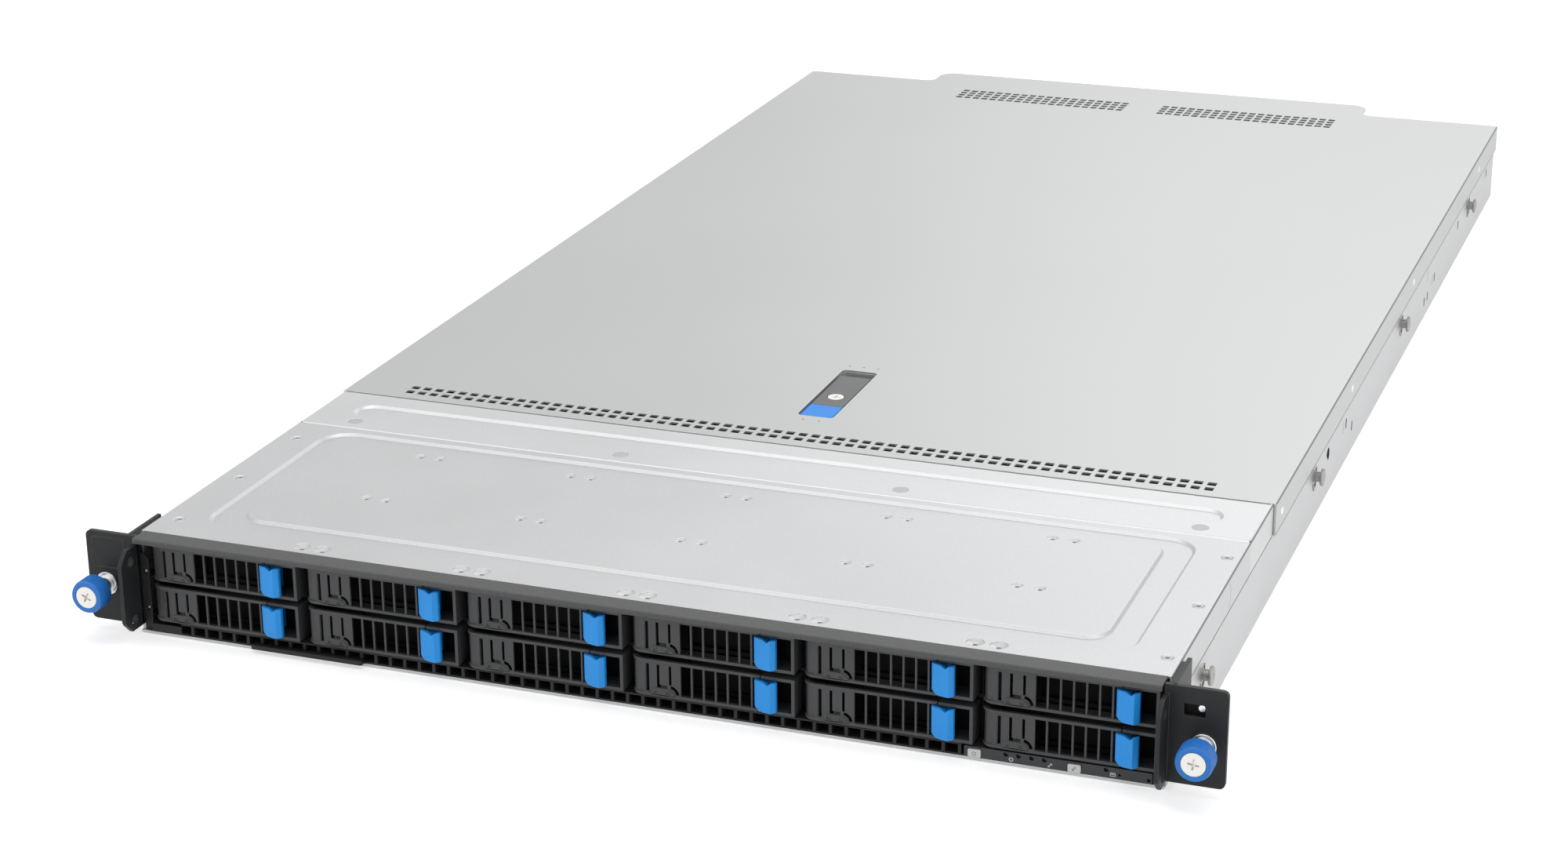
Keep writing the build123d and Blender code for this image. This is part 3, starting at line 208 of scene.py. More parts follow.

# size and patchSize count grains and patches per metre, round is the softened edge in mm
# the edge colour is painted on sharp edges, partly as rubbed wear and partly as painted highlight
plainLook = {"metal": 0.0, "gleam": 0.5, "rough": 0.45, "spread": 0.12, "grain": 0.1, "size": 2200,
    "patches": 0.1, "patchSize": 60, "bump": 0.02, "edge": (0.9, 0.9, 0.9), "wearAndHighlight": 0.4, "round": 0.2}
finishes = {
    "coverSteel": {"base": (0.53, 0.535, 0.54), "metal": 0.75, "rough": 0.4, "size": 1300, "patchSize": 9,
        "bump": 0.03, "edge": (0.92, 0.92, 0.92), "wearAndHighlight": 0.8, "round": 0.3},
    # lighter copy of the cover steel for the bridge sheet: painted light
    "litCoverSteel": {"base": (0.575, 0.58, 0.585), "metal": 0.75, "rough": 0.4, "size": 1300,
        "patchSize": 9, "bump": 0.03, "edge": (0.92, 0.92, 0.92), "wearAndHighlight": 0.8, "round": 0.3},
    "lidSteel": {"base": (0.485, 0.495, 0.495), "metal": 0.75, "rough": 0.42, "spread": 0.06,
        "grain": 0.03, "size": 1700, "patches": 0.05, "patchSize": 5, "edge": (0.92, 0.92, 0.92),
        "wearAndHighlight": 0.8, "round": 0.3},
    "brightSteel": {"base": (0.74, 0.74, 0.73), "metal": 1.0, "rough": 0.18, "grain": 0.04, "size": 2500,
        "patches": 0.04, "patchSize": 40, "edge": (0.95, 0.95, 0.95)},
    "supplyCase": {"base": (0.58, 0.585, 0.59), "metal": 0.8, "rough": 0.36, "grain": 0.06, "size": 1600,
        "patches": 0.06, "patchSize": 14, "round": 0.3},
    "portSteel": {"base": (0.6, 0.6, 0.6), "metal": 0.9, "rough": 0.3, "grain": 0.05, "size": 2000,
        "patches": 0.05, "patchSize": 25, "round": 0.25},
    "finAluminium": {"base": (0.66, 0.67, 0.68), "metal": 1.0, "rough": 0.3, "grain": 0.05, "size": 1500,
        "patches": 0.05, "patchSize": 20, "wearAndHighlight": 0.3},
    "blackCoat": {"base": (0.014, 0.015, 0.016), "gleam": 0.32, "rough": 0.42, "grain": 0.25,
        "size": 2600, "patchSize": 30, "bump": 0.12, "edge": (0.16, 0.165, 0.17), "wearAndHighlight": 0.7,
        "round": 0.45},
    "blackSheet": {"base": (0.006, 0.006, 0.0065), "gleam": 0.15, "rough": 0.5, "spread": 0.1,
        "grain": 0.2, "patchSize": 30, "bump": 0.05, "edge": (0.04, 0.04, 0.04), "wearAndHighlight": 0.3},
    "railBlack": {"base": (0.062, 0.063, 0.065), "spread": 0.15, "grain": 0.55, "size": 1900,
        "patches": 0.12, "patchSize": 20, "bump": 0.12, "edge": (0.25, 0.25, 0.26), "wearAndHighlight": 0.7,
        "round": 0.45},
    "blackPlastic": {"base": (0.012, 0.012, 0.013), "gleam": 0.35, "spread": 0.15, "grain": 0.3,
        "size": 2300, "patchSize": 30, "bump": 0.08, "edge": (0.09, 0.09, 0.095), "wearAndHighlight": 0.6,
        "round": 0.25},
    "trayCharcoal": {"base": (0.047, 0.048, 0.05), "rough": 0.42, "spread": 0.15, "grain": 0.22,
        "size": 2600, "patches": 0.08, "patchSize": 40, "bump": 0.1, "edge": (0.2, 0.2, 0.205),
        "wearAndHighlight": 0.9, "round": 0.25},
    "latchBlue": {"base": (0.012, 0.33, 0.9), "rough": 0.38, "grain": 0.06, "patches": 0.05, "bump": 0.05,
        "edge": (0.16, 0.5, 0.95), "wearAndHighlight": 0.5, "round": 0.3},
    "knobBlue": {"base": (0.016, 0.185, 0.62), "rough": 0.4, "grain": 0.08, "patches": 0.05, "bump": 0.05,
        "edge": (0.1, 0.36, 0.8), "wearAndHighlight": 0.5, "round": 0.25},
    "studSteel": {"base": (0.34, 0.335, 0.32), "metal": 0.85, "rough": 0.34, "spread": 0.15,
        "grain": 0.12, "size": 1800, "patches": 0.08, "bump": 0.04, "edge": (0.75, 0.75, 0.74),
        "wearAndHighlight": 0.6},
    # near black for the tray bodies: their own dark colour plus painted shade in their hollows
    "trayInnerShade": {"base": (0.004, 0.004, 0.0045), "gleam": 0.08, "rough": 0.6, "spread": 0.1,
        "grain": 0.2, "patchSize": 30, "bump": 0.05, "edge": (0.02, 0.02, 0.02), "wearAndHighlight": 0.5},
    "foldShade": {"base": (0.23, 0.235, 0.24), "metal": 0.7, "spread": 0.1, "size": 1800, "patchSize": 20,
        "bump": 0.0, "edge": (0.23, 0.235, 0.24), "wearAndHighlight": 0.1, "round": 0.05},
    "seamShade": {"base": (0.055, 0.056, 0.058), "rough": 0.6, "spread": 0.1, "size": 1800, "bump": 0.0,
        "edge": (0.06, 0.06, 0.06), "wearAndHighlight": 0.1, "round": 0.05},
    "leverGrey": {"base": (0.11, 0.112, 0.115), "rough": 0.42, "grain": 0.15, "patches": 0.05,
        "bump": 0.06, "edge": (0.15, 0.15, 0.16), "wearAndHighlight": 0.6, "round": 0.3},
    "buttonWhite": {"base": (0.72, 0.72, 0.71), "rough": 0.4, "spread": 0.1, "grain": 0.03, "size": 2500,
        "patches": 0.03, "patchSize": 90},
    "boardGreen": {"base": (0.008, 0.05, 0.024), "rough": 0.35, "spread": 0.15, "grain": 0.3, "size": 700,
        "patches": 0.2, "bump": 0.05, "edge": (0.2, 0.22, 0.12), "wearAndHighlight": 0.5},
    "fanBlack": {"base": (0.012, 0.012, 0.012), "gleam": 0.1, "rough": 0.5, "spread": 0.1, "grain": 0.2,
        "patchSize": 30, "bump": 0.05, "edge": (0.06, 0.06, 0.06), "round": 0.3},
    "printWhite": {"base": (0.8, 0.8, 0.8), "rough": 0.55, "spread": 0.05, "grain": 0.06, "size": 3000,
        "patches": 0.03, "patchSize": 90, "bump": 0.0, "wearAndHighlight": 0.1, "round": 0.05},
    "printGrey": {"base": (0.2, 0.2, 0.21), "rough": 0.55, "spread": 0.05, "grain": 0.06, "size": 3000,
        "patches": 0.03, "patchSize": 90, "bump": 0.0, "edge": (0.3, 0.3, 0.3), "wearAndHighlight": 0.1, "round": 0.05},
    # near black for the wall slots: painted shade of the openings
    "holeShade": {"base": (0.003, 0.003, 0.003), "gleam": 0.06, "rough": 0.7, "spread": 0.1, "grain": 0.2,
        "size": 1500, "bump": 0.0, "edge": (0.01, 0.01, 0.01), "wearAndHighlight": 0.1, "round": 0.1},
    "screwSteel": {"base": (0.8, 0.79, 0.75), "metal": 0.6, "rough": 0.32, "spread": 0.1, "grain": 0.04,
        "size": 2500, "patches": 0.04, "patchSize": 40, "edge": (0.95, 0.95, 0.95), "wearAndHighlight": 0.3,
        "round": 0.15},
    "markGrey": {"base": (0.46, 0.465, 0.47), "metal": 0.5, "rough": 0.5, "spread": 0.1, "size": 2500,
        "patches": 0.05, "edge": (0.5, 0.5, 0.5), "wearAndHighlight": 0.2, "round": 0.1},
    "leverBlue": {"base": (0.02, 0.26, 0.8), "rough": 0.5, "spread": 0.1, "grain": 0.25, "size": 1500,
        "patches": 0.05, "bump": 0.25, "edge": (0.1, 0.4, 0.9), "wearAndHighlight": 0.3},
    "panelBlack": {"base": (0.03, 0.031, 0.034), "spread": 0.1, "grain": 0.2, "size": 2300,
        "patchSize": 30, "bump": 0.06, "edge": (0.1, 0.1, 0.1), "wearAndHighlight": 0.5},
    "lampGlass": {"base": (0.05, 0.05, 0.05), "rough": 0.08, "spread": 0.02, "grain": 0.05, "size": 2300,
        "patches": 0.05, "patchSize": 30, "bump": 0.0, "edge": (0.1, 0.1, 0.1), "wearAndHighlight": 0.0, "round": 0.1},
    "rivetGrey": {"base": (0.47, 0.475, 0.48), "metal": 0.7, "grain": 0.08, "patches": 0.05,
        "edge": (0.8, 0.8, 0.8)},
}


def makeFinish(name, look):
    look = {**plainLook, **look}
    material = bpy.data.materials.new(name)
    material.use_nodes = True
    tree = material.node_tree
    shader = tree.nodes["Principled BSDF"].inputs
    grain = tree.nodes.new("ShaderNodeGroup")
    grain.node_tree = grainGroup
    values = {"Color": (*look["base"], 1), "Grain per metre": look["size"], "Grain": look["grain"],
              "Patches per metre": look["patchSize"], "Patches": look["patches"],
              "Roughness": look["rough"], "Roughness spread": look["spread"]}
    for title, value in values.items():
        grain.inputs[title].default_value = value
    # brighter colour on sharp edges: partly wear, partly painted highlight
    edge = tree.nodes.new("ShaderNodeGroup")
    edge.node_tree = edgeGroup
    edge.inputs["Edge color"].default_value = (*look["edge"], 1)
    edge.inputs["Radius"].default_value = look["round"] * mm
    edge.inputs["WearAndHighlight"].default_value = look["wearAndHighlight"]
    tree.links.new(grain.outputs["Color"], edge.inputs["Color"])
    tree.links.new(edge.outputs["Color"], shader["Base Color"])
    tree.links.new(grain.outputs["Roughness"], shader["Roughness"])
    shader["Metallic"].default_value = look["metal"]
    shader["Specular IOR Level"].default_value = look["gleam"]
    bump = put(tree, "Bump", Strength=look["bump"], Distance=0.0002, Height=grain.outputs["Height"],
               Normal=edge.outputs["Normal"])
    tree.links.new(bump["Normal"], shader["Normal"])
    return material


finish = {name: makeFinish(name, look) for name, look in finishes.items()}

slotFinish = {
    "galvanised_steel": "coverSteel", "lid_steel": "lidSteel", "black_sheet": "blackSheet",
    "ear_black": "blackCoat", "black_plastic": "blackPlastic", "tray_charcoal": "trayCharcoal",
    "latch_blue": "latchBlue", "knob_blue": "knobBlue", "latch_grey": "leverGrey",
    "bright_steel": "brightSteel", "button_white": "buttonWhite", "circuit_board": "boardGreen",
    "fin_aluminium": "finAluminium", "fan_plastic": "fanBlack", "port_steel": "portSteel",
    "supply_case": "supplyCase",
}
for part in frame["record"]["subparts"]:
    materials = nodes[part["node"]].data.materials
    materials.clear()
    materials.append(finish[slotFinish[part["material_slot"]]])
    # the tray bodies get near black, their own dark colour plus painted shade in their hollows
    if part["node"].startswith("drive_tray_"):
        materials[0] = finish["trayInnerShade"]      # its front frame gets a piece of its own
print("finishes are made:", len(finish))


# floor
def makeFloor(size, tone, glow):
    mesh = bpy.data.meshes.new("studioFloor")
    half = size / 2
    corners = [(-half, -half, 0), (half, -half, 0), (half, half, 0), (-half, half, 0)]
    mesh.from_pydata(corners, [], [(0, 1, 2, 3)])
    floor = bpy.data.objects.new("studioFloor", mesh)
    floor.location.z = -0.0004
    scene.collection.objects.link(floor)
    material = bpy.data.materials.new("studioFloor")
    material.use_nodes = True
    tree = material.node_tree
    shader = tree.nodes["Principled BSDF"]
    shader.inputs["Base Color"].default_value = (tone, tone, tone, 1)
    shader.inputs["Roughness"].default_value = 0.9
    light = put(tree, "Emission", Strength=glow)["Emission"]
    mixed = put(tree, "AddShader", _0=shader.outputs[0], _1=light)[0]
    pick = put(tree, "MixShader", _0=seeingRays(tree), _1=shader.outputs[0], _2=mixed)[0]
    tree.links.new(pick, tree.nodes["Material Output"].inputs["Surface"])
    floor.data.materials.append(material)


makeFloor(size=40, tone=0.8, glow=0.5)


# outlines, all in mm
def arcPoints(x, y, radius, start, end, steps, flatten=1.0):
    angles = [math.radians(start + (end - start) * k / steps) for k in range(steps + 1)]
    return [(x + radius * flatten * math.cos(a), y + radius * math.sin(a)) for a in angles]


def arcBand(x, y, outer, inner, start, end, steps, flatten=1.0):
    far = arcPoints(x, y, outer, start, end, steps, flatten)
    return far + arcPoints(x, y, inner, start, end, steps, flatten)[::-1]


def ringLoop(x, y, radius, count=20):
    return arcPoints(x, y, radius, 0, 360, count)[:-1]


def rectLoop(left, right, low, high, corner=0.0, steps=5):
    if corner <= 0:
        return [(left, low), (right, low), (right, high), (left, high)]
    loop = []
    for x, y, start in ((right - corner, low + corner, -90), (right - corner, high - corner, 0),
                        (left + corner, high - corner, 90), (left + corner, low + corner, 180)):
        loop += arcPoints(x, y, corner, start, start + 90, steps)
    return loop


def centredLoop(x, y, wide, tall, corner, steps):
    return rectLoop(x - wide / 2, x + wide / 2, y - tall / 2, y + tall / 2, corner, steps)


# where an outline's two sizes and its level go: seen from above, from the front and from the side
def onPlan(u, v, w):
    return (u, v, w)


def onFace(u, v, w):
    return (u, w, v)


def onSide(u, v, w):
    return (w, u, v)


# flat fill of an outline with holes: corner numbers follow the loops as given
def fillFlat(loops):
    points, rings = [], []
    for loop in loops:
        rings.append(list(range(len(points), len(points) + len(loop))))
        points += [Vector(p) for p in loop]
    result = delaunay_2d_cdt(points, [], rings, 2, 1e-5)
    back = [source[0] for source in result[3]]
    return points, [[back[i] for i in face] for face in result[2]]


# rounds every edge of the corners given that is sharper than a limit in degrees
def softenEdges(bm, verts, width, limit=28, segments=2):
    live = [v for v in verts if v.is_valid]
    sharp = [e for e in {e for v in live for e in v.link_edges}
             if len(e.link_faces) == 2 and e.calc_face_angle() > math.radians(limit)]
    bmesh.ops.bevel(bm, geom=sharp, offset=width, segments=segments, profile=0.6, affect="EDGES",
                    clamp_overlap=True)


# outline with holes drawn out between two levels, its edges rounded
def addPrism(bm, loops, low, high, place, bevel=0.0, segments=2):
    points, faces = fillFlat(loops)
    bottom = [bm.verts.new(place(p.x, p.y, low)) for p in points]
    top = [bm.verts.new(place(p.x, p.y, high)) for p in points]
    made = [bm.faces.new([top[i] for i in f]) for f in faces]
    made += [bm.faces.new([bottom[i] for i in reversed(f)]) for f in faces]
    first = 0
    for loop in loops:
        count = len(loop)
        for i in range(count):
            a, b = first + i, first + (i + 1) % count
            made.append(bm.faces.new((bottom[a], bottom[b], top[b], top[a])))
        first += count
    bmesh.ops.recalc_face_normals(bm, faces=made)
    if bevel > 0:
        bmesh.ops.dissolve_limit(bm, angle_limit=math.radians(1), verts=bottom + top,
                                 edges=list({e for f in made for e in f.edges}))
        softenEdges(bm, bottom + top, bevel, segments=segments)


# quads between rings of corners
def joinRings(bm, rings):
    made = []
    for a, b in zip(rings, rings[1:]):
        for i in range(len(a)):
            j = (i + 1) % len(a)
            made.append(bm.faces.new((a[i], a[j], b[j], b[i])))
    return made


# quads between two rows of corners
def joinRows(bm, left, right):
    for i in range(len(left) - 1):
        bm.faces.new((left[i], right[i], right[i + 1], left[i + 1]))


# a closed section carried through stations, each a function from the section's two sizes to a place
def addSweep(bm, section, stations, bevel=0.0):
    rings = [[bm.verts.new(station(a, b)) for a, b in section] for station in stations]
    made = joinRings(bm, rings) + [bm.faces.new(rings[0]), bm.faces.new(rings[-1])]
    bmesh.ops.recalc_face_normals(bm, faces=made)
    if bevel > 0:
        softenEdges(bm, [v for ring in rings for v in ring], bevel)


# rows of (radius, height along the axis) turned round an axis through centre, closed if they don't end
# where they start
def addTurned(bm, rows, centre, axis="Z", count=32):
    rings = []
    for radius, along in rows:
        if rings and (radius, along) == rows[0]:
            rings.append(rings[0])
            continue
        ring = []
        for i in range(1 if radius < 1e-6 else count):
            a = 2 * math.pi * i / count
            p, q = radius * math.cos(a), radius * math.sin(a)
            offset = {"Z": (p, q, along), "Y": (p, along, -q), "X": (along, p, q)}[axis]
            ring.append(bm.verts.new(Vector(centre) + Vector(offset)))
        rings.append(ring)
    made = []
    for a, b in zip(rings, rings[1:]):
        for i in range(count):
            j = (i + 1) % count
            if len(a) == 1 and len(b) == 1:
                continue
            if len(a) == 1:
                made.append(bm.faces.new((a[0], b[j], b[i])))
            elif len(b) == 1:
                made.append(bm.faces.new((a[i], a[j], b[0])))
            else:
                made.append(bm.faces.new((a[i], a[j], b[j], b[i])))
    if rows[0] != rows[-1]:
        made += [bm.faces.new(ring) for ring in (rings[0], rings[-1]) if len(ring) > 1]
    bmesh.ops.recalc_face_normals(bm, faces=made)


# turns a mesh in mm into a named piece that rides a body, with flats kept flat in the shading
def finishPiece(bm, name, body, material, replaced=(), shift=(0, 0, 0)):
    mesh = bpy.data.meshes.new(name)
    bm.to_mesh(mesh)
    bm.free()
    mesh.transform(Matrix.Translation((0, earLine, 0)) @ Matrix.Scale(mm, 4) @ Matrix.Translation(shift))
    mesh.materials.append(finish[material])
    for polygon in mesh.polygons:
        polygon.use_smooth = True
    mesh.set_sharp_from_angle(angle=math.radians(28))
    piece = bpy.data.objects.new(name, mesh)
    scene.collection.objects.link(piece)
    weigh = piece.modifiers.new("weigh", "WEIGHTED_NORMAL")
    weigh.keep_sharp = True
    bpy.context.view_layer.update()
    even = bpy.data.meshes.new_from_object(piece.evaluated_get(bpy.context.evaluated_depsgraph_get()))
    piece.modifiers.remove(weigh)
    piece.data = even
    bpy.data.meshes.remove(mesh)
    even.name = name
    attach(piece, body)
    if replaced:
        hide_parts(*replaced)


# ends a geometry tree with copies of its shape on points, made real and painted
def endWithCopies(tree, start, end, points, turn, size=(1, 1, 1)):
    shape = put(tree, "GeometryNodeObjectInfo", Object=start["Shape"])["Geometry"]
    copies = put(tree, "GeometryNodeInstanceOnPoints", Points=points, Instance=shape, Rotation=turn,
                 Scale=size)[0]
    real = put(tree, "GeometryNodeRealizeInstances", Geometry=copies)[0]
    painted = put(tree, "GeometryNodeSetMaterial", Geometry=real, Material=start["Material"])[0]
    tree.links.new(painted, end["Geometry"])
    return tree


def newTree(name, inputs):
    first = [("Geometry", "Geometry", None), ("Shape", "Object", None)]
    return newGroup(name, "GeometryNodeTree", first + inputs + [("Material", "Material", None)],
                    [("Geometry", "Geometry")])


# copies of a shape on every point of the base mesh
def makeScatterTree():
    tree, start, end = newTree("shapeOnPoints", [("Turn", "Float", 0.0), ("Size", "Float", 1.0)])
    points = put(tree, "GeometryNodeMeshToPoints", Mesh=start["Geometry"])[0]
    turn = put(tree, "CombineXYZ", Z=start["Turn"])[0]
    return endWithCopies(tree, start, end, points, turn, start["Size"])


# copies of a shape in a ring round Z, each turned to face outwards
def makeRingTree():
    tree, start, end = newTree("shapeInRing", [("Count", "Int", 24), ("Radius", "Float", 7.0)])
    circle = put(tree, "GeometryNodeMeshCircle", Vertices=start["Count"], Radius=start["Radius"])[0]
    share = maths(tree, "DIVIDE", put(tree, "GeometryNodeInputIndex")[0], start["Count"])
    turn = put(tree, "CombineXYZ", Z=maths(tree, "MULTIPLY", share, 2 * math.pi))[0]
    return endWithCopies(tree, start, end, circle, turn)


scatterTree = makeScatterTree()
ringTree = makeRingTree()


# runs a tree with copies of a shape and puts the plain result into bm
def growInto(bm, tree, shape, material, base=((0, 0, 0),), place=None, **values):
    copied = bpy.data.objects.new("copied", bpy.data.meshes.new("copied"))
    shape.to_mesh(copied.data)
    shape.free()
    carrier = bpy.data.objects.new("carrier", bpy.data.meshes.new("carrier"))
    carrier.data.from_pydata(base, [], [])
    for thing in (copied, carrier):
        scene.collection.objects.link(thing)
    modifier = carrier.modifiers.new("grow", "NODES")
    modifier.node_group = tree
    values = {"Shape": copied, "Material": finish[material], **values}
    for item in tree.interface.items_tree:
        if item.in_out == "INPUT" and item.name in values:
            modifier[item.identifier] = values[item.name]
    bpy.context.view_layer.update()
    grown = bpy.data.meshes.new_from_object(carrier.evaluated_get(bpy.context.evaluated_depsgraph_get()))
    carrier.modifiers.remove(modifier)
    for thing in (copied, carrier):
        bpy.data.objects.remove(thing)
    if place is not None:
        grown.transform(place)
    bm.from_mesh(grown)
    bpy.data.meshes.remove(grown)


print("tools are ready")


# sheet covers over drives and bridge, outer, inner and bead are (half width, front, back, corner)
cupColumns = [-141.8 + bayPitch * k + s * 4.65 for k in range(5) for s in (-1, 1)]
bayCover = {
    "half": wallHalf, "front": coversFront, "back": 143.3, "gauge": 0.9, "fold": 1.0,
    "outer": (199.6, 19.3, 138.6, 14.0), "inner": (186.0, 32.2, 130.0, 9.0), "press": 1.2, "slope": 1.5,
    "bigCups": [(x, 12.0) for x in cupColumns],
    "smallCups": [(x, y) for x in cupColumns for y in (69.5, 121.6)],
    "rivets": [(x, y) for x in (-209.4, 212.8) for y in (22.0, 73.0, 124.3)],
}
bridge = {
    "half": wallHalf, "front": 143.7, "back": bridgeBack, "gauge": 0.9, "fold": 1.0,
    "bead": (202.0, 157.5, 175.0, 8.74), "press": 1.2, "slope": 1.5,
    "lip": 1.6, "skirtFront": 143.36, "rearLip": (1.5, 0.55),
    "marks": [(x, 152.5) for x in (-195.0, -64.5, 65.1, 195.25)],
}
cupRows = {
    "big": [(3.75, 0.0), (3.6, -0.12), (3.5, -0.5), (3.2, -0.62), (1.15, -1.15), (0.95, -1.25), (0.9, -2.0)],
    "small": [(2.5, 0.0), (2.38, -0.08), (2.3, -0.3), (2.05, -0.36), (0.95, -0.62), (0.8, -0.72),
              (0.75, -1.6)],
    "rivet": [(2.75, 0.0), (2.6, -0.08), (2.3, -0.42), (0.9, -0.5), (0.85, -1.4)],
    "mark": [(3.6, 0.0), (3.55, -0.15)],
}
rivet = [(0.9, -1.3), (0.9, -0.2), (1.1, -0.02), (1.7, -0.06), (2.1, -0.4), (2.1, -0.9), (0.9, -1.3)]
roundMark = [(0.0, -0.14), (3.45, -0.14), (3.45, -0.04), (3.3, 0.0), (0.0, 0.0)]


# from the flat down a straight slope with softened ends
def easeRows(depth, width):
    profile = ((0, 0), (0.1, 0.025), (0.2, 0.12), (0.8, 0.88), (0.9, 0.975), (1, 1))
    return [(width * across, -depth * down) for across, down in profile]


def insetLoop(edge, inset, steps):
    half, front, back, corner = edge
    return rectLoop(-half + inset, half - inset, front + inset, back - inset, corner - inset, steps)


def atTop(loop, drop):
    return [(x, y, unitTop + drop) for x, y in loop]


def bridgeLoops(bm, loops):
    rings = [[bm.verts.new(p) for p in loop] for loop in loops]
    joinRings(bm, rings)
    return rings


def seatLoops(seats, count=20):
    return [ringLoop(*spot, cupRows[kind][0][0], count) for spot, kind in seats]


def addCups(bm, seats, count=20):
    for spot, kind in seats:
        loops = [atTop(ringLoop(*spot, radius, count), drop) for radius, drop in cupRows[kind]]
        bm.faces.new(bridgeLoops(bm, loops)[-1])


def addFlat(bm, loops):
    points, faces = fillFlat(loops)
    verts = [bm.verts.new((p.x, p.y, unitTop)) for p in points]
    for face in faces:
        bm.faces.new([verts[i] for i in face])


def addSkirts(bm, size, lip=0.0):
    fold, half, start = size["fold"], size["half"], size["front"] + lip
    rows = arcPoints(half - fold, unitTop - fold, fold, 90, 0, 4) + [(half, skirtLow)]
    starts = [start] * 4 + [size.get("skirtFront", start)] * 2
    for side in (-1, 1):
        front = [bm.verts.new((side * x, y, z)) for (x, z), y in zip(rows, starts)]
        back = [bm.verts.new((side * x, size["back"], z)) for x, z in rows]
        joinRows(bm, front, back)


# makes a solid sheet of a skin: its upper side faces up, the copy lies a thickness below it
def thicken(bm, gauge):
    bmesh.ops.remove_doubles(bm, verts=bm.verts, dist=0.0008)
    bmesh.ops.recalc_face_normals(bm, faces=bm.faces)
    if max(bm.faces, key=lambda f: f.calc_area()).normal.z < 0:
        bmesh.ops.reverse_faces(bm, faces=bm.faces)
    bm.normal_update()
    skin = bm.faces[:]
    rim = [loop for face in skin for loop in face.loops if len(loop.edge.link_faces) == 1]
    rim = [(loop.vert, loop.link_loop_next.vert) for loop in rim]
    under = {v: bm.verts.new(v.co - v.normal * gauge) for v in bm.verts[:]}
    for face in skin:
        bm.faces.new([under[v] for v in reversed(face.verts)])
    for a, b in rim:
        bm.faces.new((b, a, under[a], under[b]))
    bmesh.ops.recalc_face_normals(bm, faces=bm.faces)


def makeBayCover(size):
    bm = bmesh.new()
    flat = size["half"] - size["fold"]
    slope = easeRows(size["press"], size["slope"])
    edges = [(spot, "big") for spot in size["bigCups"]] + [(spot, "rivet") for spot in size["rivets"]]
    middle = [(spot, "small") for spot in size["smallCups"]]
    sheet = rectLoop(-flat, flat, size["front"], size["back"])
    addFlat(bm, [sheet, insetLoop(size["outer"], 0, 10)] + seatLoops(edges))
    bridgeLoops(bm, [atTop(insetLoop(size["outer"], inset, 10), drop) for inset, drop in slope]
                + [atTop(insetLoop(size["inner"], -inset, 10), drop) for inset, drop in reversed(slope)])
    addFlat(bm, [insetLoop(size["inner"], 0, 10)] + seatLoops(middle))
    addCups(bm, edges + middle)
    addSkirts(bm, size)
    thicken(bm, size["gauge"])
    finishPiece(bm, "bayCoverSheet", "root", "coverSteel", ["drive_bay_cover"])


# its front lip is rolled down into the seam, its rear lip dips under the lid
def makeBridge(size):
    bm = bmesh.new()
    flat = size["half"] - size["fold"]
    lip, lipBack = size["lip"], size["front"] + size["lip"]
    length, drop = size["rearLip"]
    rearFlat = size["back"] - length
    marks = [(spot, "mark") for spot in size["marks"]]
    sheet = rectLoop(-flat, flat, lipBack, rearFlat)
    addFlat(bm, [sheet, insetLoop(size["bead"], 0, 8)] + seatLoops(marks, 32))
    addCups(bm, marks, 32)
    slope = easeRows(size["press"], size["slope"])
    rings = bridgeLoops(bm, [atTop(insetLoop(size["bead"], inset, 8), down) for inset, down in slope])
    bm.faces.new(rings[-1])
    dip = ((0, 0), (0.3, 0.15), (0.6, 0.85), (0.8, 1), (1, 1))
    for rows in (arcPoints(lipBack, unitTop - lip, lip, 90, 180, 5),
                 [(rearFlat + length * along, unitTop - drop * down) for along, down in dip]):
        joinRows(bm, *[[bm.verts.new((x, y, z)) for y, z in rows] for x in (-flat, flat)])
    addSkirts(bm, size, lip)
    thicken(bm, size["gauge"])
    # the bridge sheet takes the lighter copy of the cover steel, painted light
    finishPiece(bm, "bridgeSheet", "root", "litCoverSteel", ["bridge_cover"])


# hollow rivets in the bay cover's seats and flat round marks in the bridge's
def makeRivets():
    for name, rows, count, spots, material in (
            ("coverRivets", rivet, 20, bayCover["rivets"], "rivetGrey"),
            ("bridgeMarks", roundMark, 32, bridge["marks"], "markGrey")):
        shape = bmesh.new()
        addTurned(shape, rows, (0, 0, 0), count=count)
        bm = bmesh.new()
        growInto(bm, scatterTree, shape, material, [(x, y, unitTop) for x, y in spots])
        finishPiece(bm, name, "root", material)


makeBayCover(bayCover)
makeBridge(bridge)
makeRivets()
print("covers are made")


